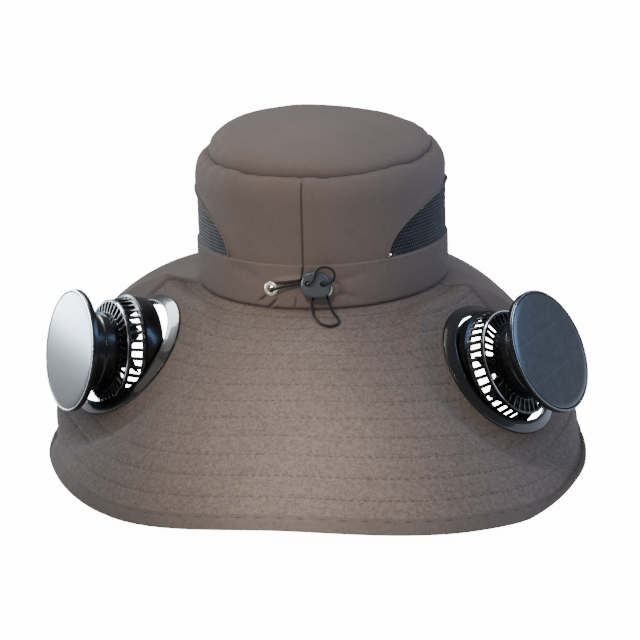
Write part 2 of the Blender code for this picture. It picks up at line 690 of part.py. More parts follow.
def build_housing(seat, head, group, finishes):
    bottom = CAGE_TOP + COLLAR_RISE + SEAM_GAP
    under = DISC_FACE - DISC_THICKNESS
    ledge = DISC_FACE - CELL_THICKNESS - SEAM_GAP + CELL_PROUD
    round_rim = 0.0008
    recess = CELL_RADIUS + SEAM_GAP
    profile = ((0.0, ledge), (recess, ledge), (recess, DISC_FACE), (DISC_RADIUS - round_rim, DISC_FACE),
               (DISC_RADIUS, DISC_FACE - round_rim), (DISC_RADIUS, under + round_rim),
               (DISC_RADIUS - round_rim, under), (NECK_RADIUS, under), (NECK_RADIUS, bottom),
               (NECK_RADIUS - NECK_WALL, bottom), (NECK_RADIUS - NECK_WALL, under + NECK_WALL),
               (0.0, under + NECK_WALL))
    housing = turned("solar_housing_" + seat.name, profile, group, finishes["black_plastic"], closed=False)
    attach(housing, head)
    face = DISC_FACE + CELL_PROUD
    cell = rod("solar_cell_" + seat.name, CELL_RADIUS, (0.0, 0.0, face - CELL_THICKNESS), (0.0, 0.0, face),
               group, finishes["cell_glass"], sides=TURN_STEPS)
    attach(cell, head)
    motor_top = under + NECK_WALL - SEAM_GAP
    shaft_end = MOTOR_BOTTOM - SHAFT_LENGTH
    outline = ((0.0, motor_top), (MOTOR_RADIUS, motor_top), (MOTOR_RADIUS, MOTOR_BOTTOM),
               (SHAFT_RADIUS, MOTOR_BOTTOM), (SHAFT_RADIUS, shaft_end), (0.0, shaft_end))
    motor = turned("fan_motor_" + seat.name, outline, group, finishes["motor_steel"], steps=12, closed=False)
    attach(motor, head)


def build_impeller(seat, head, group, cutters, finishes):
    top = MOTOR_BOTTOM - SEAM_GAP
    low = top - HUB_HEIGHT
    bore = SHAFT_RADIUS + HUB_CLEARANCE
    profile = ((bore, top), (HUB_RADIUS, top), (HUB_RADIUS, low), (bore, low))
    impeller = turned("impeller_" + seat.name, profile, group, finishes["black_plastic"], steps=14)
    attach(impeller, head)
    blades = bmesh.new()
    root = HUB_RADIUS - 0.0015
    middle = (top + low) / 2
    for k in range(BLADE_COUNT):
        made = bmesh.ops.create_cube(blades, size=1.0)
        for vert in made["verts"]:
            tip = vert.co.x > 0
            pitch = math.radians(BLADE_PITCH * (0.75 if tip else 1.0))
            chord = BLADE_CHORD * (1.0 if tip else 0.55)
            flat = Vector((0.0, vert.co.y * chord, vert.co.z * BLADE_THICKNESS))
            flat.rotate(Matrix.Rotation(pitch, 3, "X"))
            flat.x = BLADE_TIP if tip else root
            flat.z += middle
            flat.rotate(Matrix.Rotation(math.tau * k / BLADE_COUNT, 3, "Z"))
            vert.co = flat
    tool = link_mesh("blades_" + seat.name, mesh_from_bmesh("blades_" + seat.name, blades), cutters, None)
    attach(tool, head)
    boolean(impeller, tool, "UNION")


def build_fan(seat, group, cutters, finishes):
    centre, normal, hinge = SEAT_FRAMES[seat.name]
    across = normal.cross(hinge)
    turn = Matrix((hinge, across, normal)).transposed().to_4x4()
    pivot = centre + normal * PIVOT_RISE
    frame = bpy.data.objects.new("fan_seat_" + seat.name, None)
    group.objects.link(frame)
    frame.matrix_world = Matrix.Translation(pivot) @ turn
    head = bpy.data.objects.new("fan_head_" + seat.name, None)
    group.objects.link(head)
    head.parent = frame
    head.rotation_euler.x = math.radians(seat.rest_tilt)
    build_flange(seat, frame, group, cutters, finishes)
    build_cage(seat, head, group, finishes)
    build_housing(seat, head, group, finishes)
    build_impeller(seat, head, group, cutters, finishes)


def overall_box(group):
    """Lowest and highest corners of everything in the collection, with its modifiers applied."""
    graph = bpy.context.evaluated_depsgraph_get()
    corners = []
    for piece in group.objects:
        if piece.type == "EMPTY":
            continue
        shown = piece.evaluated_get(graph)
        corners += [shown.matrix_world @ vert.co for vert in shown.to_mesh().vertices]
        shown.to_mesh_clear()
    low = Vector([min(corner[axis] for corner in corners) for axis in range(3)])
    high = Vector([max(corner[axis] for corner in corners) for axis in range(3)])
    return low, high


def set_on_floor(group, cutters):
    """Press the lowest stretch of the brim's edge flat, and move the hat to the floor's middle."""
    bpy.context.view_layer.update()
    low, high = overall_box(group)
    span = 2 * max(high.x - low.x, high.y - low.y)
    slab_depth = 10 * BRIM_CLOTH
    shape = bmesh.new()
    bmesh.ops.create_cube(shape, size=1.0)
    bmesh.ops.scale(shape, vec=(span, span, slab_depth), verts=shape.verts)
    slab = link_mesh("floor_slab", mesh_from_bmesh("floor_slab", shape), cutters, None)
    floor = low.z + REST_FLAT
    slab.location.z = floor - slab_depth / 2
    for name in ("brim_back", "brim_front"):
        boolean(bpy.data.objects[name], slab, "DIFFERENCE")
    shift = Vector((-(low.x + high.x) / 2, -(low.y + high.y) / 2, -floor))
    for placed in (*group.objects, *cutters.objects):
        if placed.parent is None:
            placed.location += shift


def main():
    clear_scene()
    group = new_collection("solar_fan_hat")
    cutters = new_collection("cutters")
    finishes = {name: make_material(name) for name in FINISHES}
    for seat in FAN_SEATS:
        SEAT_FRAMES[seat.name] = seat_frame(seat)
    build_crown(group, finishes)
    build_nets(group, finishes)
    build_band(group, cutters, finishes)
    build_brim(group, cutters, finishes)
    build_eyelets(group, finishes)
    build_toggle(group, cutters, finishes)
    build_cord(group, finishes)
    for seat in FAN_SEATS:
        build_fan(seat, group, cutters, finishes)
    set_on_floor(group, cutters)


main()
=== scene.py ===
# %% [markdown]
# # A solar fan hat
#
# This notebook dresses a soft sun hat: a taupe crown with a net vent on each side, a band with a
# drawcord at the back, a wide stitched brim, and a tilting solar fan let into the brim on each
# side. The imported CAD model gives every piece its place, and moves the fans. The steps below lay
# cloth, net, cord and moulded plastic over it. Lengths are metres, and +Y is the hat's front.

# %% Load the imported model
import json
import math
from collections import namedtuple

import bmesh
import bpy
import numpy as np
from mathutils import Matrix, Vector, noise


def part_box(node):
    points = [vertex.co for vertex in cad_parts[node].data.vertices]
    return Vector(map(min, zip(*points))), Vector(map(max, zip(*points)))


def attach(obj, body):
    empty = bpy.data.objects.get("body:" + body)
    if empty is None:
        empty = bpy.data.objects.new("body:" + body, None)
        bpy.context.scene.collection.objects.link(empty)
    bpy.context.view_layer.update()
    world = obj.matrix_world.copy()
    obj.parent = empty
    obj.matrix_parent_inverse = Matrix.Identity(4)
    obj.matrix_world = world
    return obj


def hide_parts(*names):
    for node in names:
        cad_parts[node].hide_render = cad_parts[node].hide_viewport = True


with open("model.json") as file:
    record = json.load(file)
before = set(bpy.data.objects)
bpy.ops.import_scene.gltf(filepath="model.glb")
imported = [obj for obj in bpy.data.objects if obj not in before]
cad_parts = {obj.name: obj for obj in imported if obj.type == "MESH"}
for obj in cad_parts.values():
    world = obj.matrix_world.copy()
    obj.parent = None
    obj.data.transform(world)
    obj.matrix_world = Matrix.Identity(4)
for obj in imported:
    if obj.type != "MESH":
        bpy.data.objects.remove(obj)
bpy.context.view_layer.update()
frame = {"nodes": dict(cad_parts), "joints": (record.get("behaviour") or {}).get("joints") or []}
print("pieces in the CAD model:", len(frame["nodes"]))

# %% [markdown]
# Everything on the hat is measured from the middle of the head opening, at the lower edge of the
# band. The band's own box gives that point, so nothing has to be placed by eye.

# %% Find the middle of the crown's base
MM = 0.001
band_low, band_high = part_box("band")
CROWN_BASE = np.array(((band_low.x + band_high.x) / 2, (band_low.y + band_high.y) / 2, band_low.z))
print("crown base at", CROWN_BASE.round(4))

# %% [markdown]
# The picture was taken from behind the hat, a little to its right and about 15 degrees above the
# level, with a long lens. A camera like that is set by its direction, its distance and its roll.
# The small shift only puts the hat where the picture's frame has it.

# %% Set the camera
CAMERA_AZIMUTH = math.radians(7.512)
CAMERA_ELEVATION = math.radians(14.977)
CAMERA_ROLL = math.radians(-1.633)
CAMERA_DISTANCE = 1.2
CAMERA_SHIFT = (-0.0057, -0.0750)
LENS = 93.44


def add_object(name, data):
    made = bpy.data.objects.new(name, data)
    bpy.context.scene.collection.objects.link(made)
    return made


away = Vector((math.sin(CAMERA_AZIMUTH) * math.cos(CAMERA_ELEVATION),
               -math.cos(CAMERA_AZIMUTH) * math.cos(CAMERA_ELEVATION), math.sin(CAMERA_ELEVATION)))
level = Vector((math.cos(CAMERA_AZIMUTH), math.sin(CAMERA_AZIMUTH), 0.0))
right_hand = level * math.cos(CAMERA_ROLL) + away.cross(level) * math.sin(CAMERA_ROLL)
camera = add_object("camera", bpy.data.cameras.new("camera"))
camera.matrix_world = (Matrix.Translation(Vector(CROWN_BASE) + away * CAMERA_DISTANCE)
                       @ Matrix((right_hand, away.cross(right_hand), away)).transposed().to_4x4())
camera.data.lens = LENS
camera.data.shift_x, camera.data.shift_y = CAMERA_SHIFT
bpy.context.scene.camera = camera
print("camera at", [round(value, 3) for value in camera.location])

# %% [markdown]
# A pale floor, an even sky and a few soft lights make a plain studio. Narrow beams brighten the
# middle of the brim and the crown, so that the sides fall off as in the picture: warmer on the
# left, cooler on the right. Glossy black plastic and resin mostly show what they reflect, so two
# cards stand where the left fan's ring and cell look, and they light nothing but reflections. The
# floor glows only toward the camera, so that it looks white without lighting the hat from below.

# %% Build the studio
HAT_MIDDLE = (0.0, 0.0, 0.08)
SOFT_LIGHTS = (
    # name, place, target, width, height, power, colour
    ("key_light", (-1.2, -1.2, 1.4), HAT_MIDDLE, 1.2, 1.2, 3.0, (1.0, 0.90, 0.80)),
    ("cool_fill", (1.6, 0.1, 1.1), HAT_MIDDLE, 1.0, 1.0, 17.0, (0.28, 0.54, 1.0)),
    ("top_light", (-0.2, 0.0, 2.1), HAT_MIDDLE, 1.4, 1.4, 8.0, (1.0, 0.92, 0.83)),
    ("left_light", (-1.9, 1.1, 0.75), HAT_MIDDLE, 1.6, 1.6, 4.0, (1.0, 0.93, 0.85)),
)
CARDS = (
    # The same columns as the soft lights
    ("cell_card", (-0.53, 0.09, 0.135), (-0.147, -0.09, 0.12), 0.30, 0.18, 4.6, (0.68, 0.83, 1.0)),
    ("ring_card", (-0.50, 0.36, 1.00), (-0.085, -0.06, 0.10), 0.80, 0.60, 32.0, (0.80, 0.89, 1.0)),
)
BEAMS = (
    # name, place, target, spread in degrees, power
    ("low_beam", (-0.15, -1.30, 1.15), (0.019, -0.198, 0.032), 8.0, 154.0),
    ("high_beam", (-0.15, -1.30, 1.15), (-0.012, -0.099, 0.099), 8.0, 77.0),
    ("crown_beam", (-0.30, -0.90, 1.30), (-0.008, -0.011, 0.219), 9.0, 44.0),
)
BEAM_COLOUR = (1.0, 0.91, 0.82)
BEAM_SOURCE_RADIUS = 0.06
SKY_COLOUR = (0.93, 0.95, 1.0)
SKY_STRENGTH = 0.64
SKY_REFLECTED = 0.20
FLOOR_RADIUS = 9.0
FLOOR_COLOUR = (0.93, 0.93, 0.93)
FLOOR_GLOW = 14.0


def add_lamp(name, kind, place, target, power, colour):
    lamp = bpy.data.lights.new(name, kind)
    lamp.energy = power
    lamp.color = colour
    made = add_object(name, lamp)
    made.location = place
    made.rotation_mode = "QUATERNION"
    made.rotation_quaternion = (Vector(target) - made.location).to_track_quat("-Z", "Y")
    return made


def add_panel(name, place, target, width, height, power, colour):
    made = add_lamp(name, "AREA", place, target, power, colour)
    made.data.shape = "RECTANGLE"
    made.data.size = width
    made.data.size_y = height
    return made


def strength_by_ray(tree, ray, seen_by_it, otherwise, socket):
    """Drive a strength with one value for a kind of ray and another for all others."""
    path = tree.nodes.new("ShaderNodeLightPath")
    strength = tree.nodes.new("ShaderNodeMath")
    strength.operation = "MULTIPLY_ADD"
    strength.inputs[1].default_value = seen_by_it - otherwise
    strength.inputs[2].default_value = otherwise
    tree.links.new(path.outputs[ray], strength.inputs[0])
    tree.links.new(strength.outputs["Value"], socket)


def mesh_of(name, shape):
    mesh = bpy.data.meshes.new(name)
    shape.to_mesh(mesh)
    shape.free()
    return mesh


def make_floor():
    shape = bmesh.new()
    bmesh.ops.create_circle(shape, cap_ends=True, segments=64, radius=FLOOR_RADIUS)
    floor = add_object("floor", mesh_of("floor", shape))
    pale = bpy.data.materials.new("pale_floor")
    pale.use_nodes = True
    sockets = pale.node_tree.nodes["Principled BSDF"].inputs
    sockets["Base Color"].default_value = (*FLOOR_COLOUR, 1.0)
    sockets["Roughness"].default_value = 0.9
    sockets["Specular IOR Level"].default_value = 0.0
    sockets["Emission Color"].default_value = (1.0, 1.0, 1.0, 1.0)
    strength_by_ray(pale.node_tree, "Is Camera Ray", FLOOR_GLOW, 0.0, sockets["Emission Strength"])
    floor.data.materials.append(pale)


def make_sky():
    """An even sky that looks dimmer in reflections, as a dark room does round a lit table."""
    world = bpy.data.worlds.new("studio")
    bpy.context.scene.world = world
    world.use_nodes = True
    sockets = world.node_tree.nodes["Background"].inputs
    sockets["Color"].default_value = (*SKY_COLOUR, 1.0)
    strength_by_ray(world.node_tree, "Is Glossy Ray", SKY_REFLECTED, SKY_STRENGTH, sockets["Strength"])


def make_studio():
    for row in SOFT_LIGHTS:
        add_panel(*row)
    for row in CARDS:
        add_panel(*row).visible_diffuse = False
    for name, place, target, spread, power in BEAMS:
        beam = add_lamp(name, "SPOT", place, target, power, BEAM_COLOUR)
        beam.data.shadow_soft_size = BEAM_SOURCE_RADIUS
        beam.data.spot_size = math.radians(spread)
        beam.data.spot_blend = 1.0
    make_floor()
    make_sky()


make_studio()
print("lights:", len(SOFT_LIGHTS) + len(CARDS) + len(BEAMS))

# %% [markdown]
# ## Finishes
#
# A material's nodes are easier to read when a small helper adds and joins them. Each finish below
# is made from noise and waves only, so it needs no image.

# %% A helper for material nodes
WAVE_LENGTH = 0.314


class Finish:
    """One material, with short ways to add nodes and join them."""

    def __init__(self, name, colour, roughness, **settings):
        self.material = bpy.data.materials.new(name)
        self.material.use_nodes = True
        self.tree = self.material.node_tree
        self.shader = self.tree.nodes["Principled BSDF"]
        self.shader.inputs["Base Color"].default_value = (*colour, 1.0)
        self.shader.inputs["Roughness"].default_value = roughness
        for socket, value in settings.items():
            self.shader.inputs[socket.replace("_", " ")].default_value = value
        self.material.diffuse_color = (*colour, 1.0)

    def add(self, kind, links=None, **settings):
        node = self.tree.nodes.new("ShaderNode" + kind)
        for name, value in settings.items():
            setattr(node, name, value)
        for socket, value in (links or {}).items():
            self.feed(value, node.inputs[socket])
        return node

    def feed(self, value, socket):
        if isinstance(value, bpy.types.NodeSocket):
            self.tree.links.new(value, socket)
        else:
            socket.default_value = value

    def set(self, socket, value):
        self.feed(value, self.shader.inputs[socket])

    def place(self, kind="Object"):
        return self.add("TexCoord").outputs[kind]

    def noise(self, where, scale, detail=2.0, roughness=0.5):
        links = {"Vector": where, "Scale": scale, "Detail": detail, "Roughness": roughness}
        return self.add("TexNoise", links).outputs["Fac"]

    def wave(self, where, pitch, direction):
        """Even lines at a pitch. A wave texture of scale 1 repeats every WAVE_LENGTH metres."""
        links = {"Vector": where, "Scale": WAVE_LENGTH / pitch}
        return self.add("TexWave", links, wave_type="BANDS", bands_direction=direction).outputs["Fac"]

    def ramp(self, value, low, high, bottom=0.0, top=1.0):
        links = {"Value": value, "From Min": low, "From Max": high, "To Min": bottom, "To Max": top}
        return self.add("MapRange", links).outputs["Result"]

    def math(self, operation, first, second):
        return self.add("Math", {0: first, 1: second}, operation=operation).outputs["Value"]

    def mix(self, factor, first, second):
        node = self.add("Mix", {"Factor": factor}, data_type="RGBA")
        for value, socket in ((first, node.inputs[6]), (second, node.inputs[7])):
            self.feed(value if isinstance(value, bpy.types.NodeSocket) else (*value, 1.0), socket)
        return node.outputs[2]

    def scaled(self, colour, amount):
        """A colour that gets lighter and darker by an amount that varies over the piece."""
        grey = self.add("CombineXYZ", {0: amount, 1: amount, 2: amount}).outputs[0]
        return self.add("VectorMath", {0: colour, 1: grey}, operation="MULTIPLY").outputs[0]

    def bump(self, height, distance, strength=1.0, under=None):
        links = {"Height": height, "Distance": distance, "Strength": strength}
        if under is not None:
            links["Normal"] = under
        return self.add("Bump", links).outputs["Normal"]


print("finish helper ready")

# %% [markdown]
# The brim is a heathered canvas: pale and dark fibres are spun together, so close up it looks like
# salt and pepper. Fine noise picks the fibres, a slow noise lets the shade drift over the cloth, and
# two crossed waves in the cloth's own directions give the weave its tiny ridges. The crown and
# front brim are the same colour in a smoother cloth, so the same recipe serves with less contrast.
# The back hem is plainer than the brim as well, and a little darker.

# %% Mix the cloth finishes
def canvas_finish(name, colour, heather, weave_pitch, ridge):
    finish = Finish(name, colour, 0.88, Sheen_Weight=0.04, Sheen_Roughness=0.45, Specular_IOR_Level=0.10)
    where = finish.place()
    cloth = finish.place("UV")
    fibres = finish.noise(where, 1150.0, 3.0, 0.62)
    slubs = finish.noise(where, 360.0)
    speckle = finish.math("ADD", finish.math("MULTIPLY", fibres, 0.7), finish.math("MULTIPLY", slubs, 0.3))
    dark = [value * (1.0 - heather) for value in colour]
    light = [value * (1.0 + heather) for value in colour]
    shade = finish.mix(finish.ramp(speckle, 0.36, 0.64), dark, light)
    drift = finish.ramp(finish.noise(where, 16.0), 0.3, 0.7, 0.93, 1.06)
    finish.set("Base Color", finish.scaled(shade, drift))
    weave = finish.math("MAXIMUM", *(finish.wave(cloth, weave_pitch, direction) for direction in "XY"))
    finish.set("Normal", finish.bump(fibres, ridge * 0.8, 0.5, finish.bump(weave, ridge, 0.55)))
    return finish.material


brim_canvas = canvas_finish("brim_canvas", (0.135, 0.106, 0.090), 0.34, 0.0011, 0.00012)
smooth_canvas = canvas_finish("smooth_canvas", (0.130, 0.101, 0.087), 0.07, 0.0006, 0.00004)
hem_canvas = canvas_finish("hem_canvas", (0.112, 0.090, 0.077), 0.16, 0.0009, 0.00007)
print("cloth finishes:", brim_canvas.name, smooth_canvas.name, hem_canvas.name)

# %% [markdown]
# The threads are a little darker than the cloth and twisted. The net is knitted from dark navy
# yarn, and the rims of its holes are painted a paler grey as a painted highlight, where light would
# catch their edges. The drawcord is a near-black braid.

# %% Mix the thread, net and cord finishes
def yarn_finish(name, colour, twist, ridge, roughness=0.8):
    finish = Finish(name, colour, roughness, Sheen_Weight=0.15, Specular_IOR_Level=0.25)
    fuzz = finish.noise(finish.place(), twist)
    light = [value * 1.7 + 0.001 for value in colour]
    finish.set("Base Color", finish.mix(finish.ramp(fuzz, 0.45, 0.75), colour, light))
    finish.set("Normal", finish.bump(fuzz, ridge, 0.8))
    return finish.material


thread_brown = yarn_finish("thread_brown", (0.050, 0.040, 0.034), 2600.0, 0.0001)
thread_taupe = yarn_finish("thread_taupe", (0.080, 0.066, 0.058), 2600.0, 0.0001)
net_yarn = yarn_finish("net_yarn", (0.0022, 0.0022, 0.0048), 1500.0, 0.0001, 0.9)
# Painted highlight: a paler grey for the rims of the net's holes, in place of light caught there
rim_yarn = yarn_finish("rim_yarn", (0.060, 0.057, 0.060), 1500.0, 0.0001)
cord_braid = yarn_finish("cord_braid", (0.0075, 0.0065, 0.0065), 1900.0, 0.00016, 0.7)
print("yarn finishes ready")

# %% [markdown]
# The fans are moulded in glossy black plastic, glossiest on the rings, with paler blades inside.
# Real mouldings are never perfect mirrors: a faint ripple bends the reflections, and handling
# leaves soft smears where the gloss is lower. The toggle is a satin slate grey, the eyelets are
# pale lacquered brass, and the solar cell is dark silicon with thin contact lines under resin.

# %% Mix the plastic, metal and cell finishes
CELL_LINE_PITCH = 0.0016
CELL_BAR_PITCH = 0.026


def moulded_finish(name, colour, gloss, ripple, coat=0.0, metallic=0.0):
    finish = Finish(name, colour, gloss, Coat_Weight=coat, Coat_Roughness=0.04, Metallic=metallic)
    where = finish.place()
    smears = finish.noise(where, 55.0, 4.0, 0.6)
    finish.set("Roughness", finish.ramp(smears, 0.3, 0.75, gloss * 0.8, gloss * 1.5))
    finish.set("Normal", finish.bump(finish.noise(where, 120.0, 1.0), ripple, 0.5))
    grain = finish.ramp(finish.noise(where, 900.0), 0.3, 0.7, 0.9, 1.1)
    finish.set("Base Color", finish.scaled(colour, grain))
    return finish.material


def cell_finish():
    finish = Finish("cell_glass", (0.030, 0.034, 0.042), 0.28, Coat_Weight=0.7, Coat_Roughness=0.20)
    face = finish.place("UV")
    lines = finish.ramp(finish.wave(face, CELL_LINE_PITCH, "X"), 0.90, 1.0)
    bars = finish.ramp(finish.wave(face, CELL_BAR_PITCH, "Y"), 0.992, 0.998)
    crystals = finish.ramp(finish.noise(finish.place(), 240.0, 1.0), 0.35, 0.65)
    silicon = finish.mix(crystals, (0.026, 0.030, 0.038), (0.038, 0.043, 0.052))
    faint = [finish.math("MULTIPLY", *pair) for pair in ((lines, 0.35), (bars, 0.15))]
    contact = finish.math("MAXIMUM", *faint)
    finish.set("Base Color", finish.mix(contact, silicon, (0.13, 0.14, 0.155)))
    return finish.material


black_plastic = moulded_finish("black_plastic", (0.0035, 0.0035, 0.0042), 0.24, 0.00003, coat=0.15)
ring_plastic = moulded_finish("ring_plastic", (0.0040, 0.0042, 0.0050), 0.22, 0.00003, coat=1.0)
grey_plastic = moulded_finish("grey_plastic", (0.046, 0.053, 0.062), 0.36, 0.00003)
blade_plastic = moulded_finish("blade_plastic", (0.060, 0.060, 0.064), 0.40, 0.00002)
silver_line = moulded_finish("silver_line", (0.72, 0.74, 0.77), 0.16, 0.00001, metallic=1.0)
motor_steel = moulded_finish("motor_steel", (0.50, 0.50, 0.51), 0.32, 0.00001, metallic=1.0)
pale_brass = moulded_finish("pale_brass", (0.74, 0.66, 0.50), 0.34, 0.00002, metallic=0.75)
cell_glass = cell_finish()
print("hard finishes ready")

# %% [markdown]
# ## Cloth from grids
#
# A sewn piece is easiest to describe as a grid: rows run up or out, columns run round the hat. The
# outer grid is the side that shows and the inner grid is the same cloth's back, so joining the two
# gives a real thickness. Each point also keeps its place on the flat cloth, which the weave reads.

# %% Helpers that turn grids into pieces
SHARP_ANGLE = 38.0


def as_array(points):
    return np.array(points, dtype=float)


def even_turns(count):
    return np.linspace(0.0, math.tau, count, endpoint=False)


def run_along(path):
    """Distance along a path at each of its points."""
    return np.concatenate(([0.0], np.cumsum(np.linalg.norm(np.diff(path, axis=0), axis=1))))


def grid_normals(points):
    """Directions that a grid's surface faces, where each row runs all the way round."""
    ring = points[:, :-1]
    across = np.roll(ring, -1, axis=1) - np.roll(ring, 1, axis=1)
    across = np.concatenate((across, across[:, :1]), axis=1)
    normals = np.cross(across, np.gradient(points, axis=0))
    return normals / np.maximum(np.linalg.norm(normals, axis=2, keepdims=True), 1e-12)


def flat_places(points):
    """Where each point lies on the flat cloth: its distance along the column and along the row."""
    rows, columns = points.shape[:2]
    run = run_along(points[rows // 2])
    rise = run_along(points[:, columns // 2])
    return np.stack(np.broadcast_arrays(run[None, :], rise[:, None]), axis=2)


def grid_faces(rows, columns, start=0, flip=False):
    corner = start + np.arange(rows - 1)[:, None] * columns + np.arange(columns - 1)[None, :]
    faces = np.stack((corner, corner + 1, corner + columns + 1, corner + columns), axis=2).reshape(-1, 4)
    return faces[:, ::-1] if flip else faces


def slab_faces(rows, columns, around=False, start=0):
    """Faces of a closed slab: a grid of points, its back as the next grid, and the edges."""
    count = rows * columns
    faces = [grid_faces(rows, columns, start), grid_faces(rows, columns, start + count, True)]
    edges = [np.arange(columns), np.arange(count - columns, count)]
    if not around:
        edges += [np.arange(0, count, columns), np.arange(columns - 1, count, columns)]
    for edge in edges:
        edge = edge + start
        faces.append(np.stack((edge[:-1], edge[1:], edge[1:] + count, edge[:-1] + count), axis=1))
    return np.concatenate(faces)


def ring_faces(rows, columns, closed=False):
    """Faces between rows that each close on themselves, and between the last and first if closed."""
    faces = []
    for r in range(rows if closed else rows - 1):
        low, high = r * columns, (r + 1) % rows * columns
        for k in range(columns):
            nxt = (k + 1) % columns
            faces.append((low + k, low + nxt, high + nxt, high + k))
    return faces


def shade_smooth(mesh, sharp_angle=SHARP_ANGLE):
    mesh.polygons.foreach_set("use_smooth", [True] * len(mesh.polygons))
    mesh.set_sharp_from_angle(angle=math.radians(sharp_angle))


def mesh_from(name, verts, faces, places=None, merge=2e-6):
    """A smooth mesh with its outside outward, in the row frame, with its cloth places as UVs."""
    mesh = bpy.data.meshes.new(name)
    mesh.from_pydata((verts + CROWN_BASE).tolist(), [], [list(face) for face in faces])
    if places is not None:
        layer = mesh.uv_layers.new(name="cloth")
        corners = np.zeros(len(mesh.loops), dtype=np.int32)
        mesh.loops.foreach_get("vertex_index", corners)
        layer.data.foreach_set("uv", places[corners].ravel())
    shape = bmesh.new()
    shape.from_mesh(mesh)
    bmesh.ops.remove_doubles(shape, verts=shape.verts, dist=merge)
    bmesh.ops.recalc_face_normals(shape, faces=shape.faces)
    shape.to_mesh(mesh)
    shape.free()
    shade_smooth(mesh)
    return mesh


def cloth_mesh(name, outer, inner, around=False):
    """A closed piece of cloth between an outer and an inner grid of points."""
    verts = np.concatenate((outer.reshape(-1, 3), inner.reshape(-1, 3)))
    places = flat_places(outer).reshape(-1, 2)
    return mesh_from(name, verts, slab_faces(*outer.shape[:2], around), np.concatenate((places, places)))


def show(name, mesh, finish, body, nodes=()):
    """Put a finished piece on its body, in place of the CAD nodes that it stands for."""
    made = add_object(name, mesh)
    mesh.materials.clear()
    for each in finish if isinstance(finish, tuple) else (finish,):
        mesh.materials.append(each)
    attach(made, body)
    if nodes:
        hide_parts(*nodes)
    return made


def cut_holes(mesh, cutters):
    """Cut closed shapes out of a piece, once and for all."""
    made = add_object("cut_piece", mesh)
    tools = [add_object("cut_tool", cutter) for cutter in cutters]
    for tool in tools:
        cut = made.modifiers.new("cut", "BOOLEAN")
        cut.object = tool
        cut.operation = "DIFFERENCE"
        cut.solver = "EXACT"
    bpy.context.view_layer.update()
    done = bpy.data.meshes.new_from_object(made.evaluated_get(bpy.context.evaluated_depsgraph_get()))
    done.name = mesh.name
    for old in (made, *tools):
        bpy.data.objects.remove(old, do_unlink=True)
    return done


def turned_toward(middle, direction):
    """A placing matrix with local Z along a direction."""
    return Matrix.Translation(Vector(middle)) @ Vector(direction).to_track_quat("Z", "Y").to_matrix().to_4x4()


def round_bar(middle, half, radius, sides=48):
    """A round cutter that reaches as far as its half length to both sides of its middle."""
    start, end = (Vector(point) + Vector(CROWN_BASE) for point in (middle - half, middle + half))
    line = end - start
    shape = bmesh.new()
    bmesh.ops.create_cone(shape, cap_ends=True, segments=sides, radius1=radius, radius2=radius,
                          depth=line.length, matrix=turned_toward((start + end) / 2, line))
    return mesh_of("bar", shape)


def smooth_noise(points, scale, seed=0.0):
    """Soft noise between about -1 and 1 at each point of a grid, the same on every run."""
    flat = points.reshape(-1, points.shape[-1]) * scale
    values = [noise.noise(Vector((x + seed, y - seed, z + 2.0 * seed))) for x, y, z in flat]
    return np.array(values).reshape(points.shape[:-1])


def bell(distance, width):
    """A soft bump that is 1 at no distance and fades over the width."""
    return np.exp(-(distance / width) ** 2)


def smooth_step(value):
    value = np.clip(value, 0.0, 1.0)
    return value * value * (3.0 - 2.0 * value)


print("grid helpers ready")

# %% [markdown]
# Thread shows on the hat as many small stitches. Each one is a short tube that dips into the cloth
# at both ends, as a lockstitch does. All the stitches of one piece go into a single mesh.

# %% A helper for stitches
STITCH_RINGS = 4
STITCH_SIDES = 5
STITCH_ENDS = [tuple(reversed(range(STITCH_SIDES))),
               tuple(range(STITCH_RINGS * STITCH_SIDES, (STITCH_RINGS + 1) * STITCH_SIDES))]
STITCH_FACES = ring_faces(STITCH_RINGS + 1, STITCH_SIDES) + STITCH_ENDS


def stitch_mesh(name, starts, ends, normals, radius, arch):
    """Short arched tubes from start to end, standing a little out of the cloth in their middle."""
    verts = []
    faces = []
    for start, end, normal in zip(starts, ends, normals):
        along = end - start
        side = np.cross(normal, along)
        side /= max(np.linalg.norm(side), 1e-9)
        first = len(verts)
        for share in np.linspace(0.0, 1.0, STITCH_RINGS + 1):
            rise = math.sin(math.pi * share)
            middle = start + along * share + normal * (arch * rise - radius * 0.6)
            thin = radius * (0.55 + 0.45 * rise)
            for turn in even_turns(STITCH_SIDES):
                verts.append(middle + side * (thin * math.cos(turn)) + normal * (thin * math.sin(turn)))
        faces += [tuple(first + k for k in face) for face in STITCH_FACES]
    return mesh_from(name, as_array(verts), faces, merge=1e-9)


def at_runs(values, run, where):
    return np.stack([np.interp(where, run, values[:, axis]) for axis in range(3)], axis=1)


def stitches_along(path, normals, pitch, share):
    """Starts, ends and normals of even stitches along a path of points."""
    run = run_along(path)
    count = int(run[-1] / pitch)
    begin = (np.arange(count) + 0.5 * (1.0 - share)) * run[-1] / count
    finish = begin + share * run[-1] / count
    middle = at_runs(normals, run, (begin + finish) / 2)
    middle /= np.linalg.norm(middle, axis=1, keepdims=True)
    return at_runs(path, run, begin), at_runs(path, run, finish), middle


def joined(parts):
    return [np.concatenate(each) for each in zip(*parts)]


print("stitch helper ready")

# %% [markdown]
# ## Crown
#
# The crown is a tall ring of smooth cloth with a round top panel sewn into it. Its outline on the
# head is an oval. The wall goes straight up from the band and rounds in over the shoulder, and an
# arch is cut out of it on each side for the net.

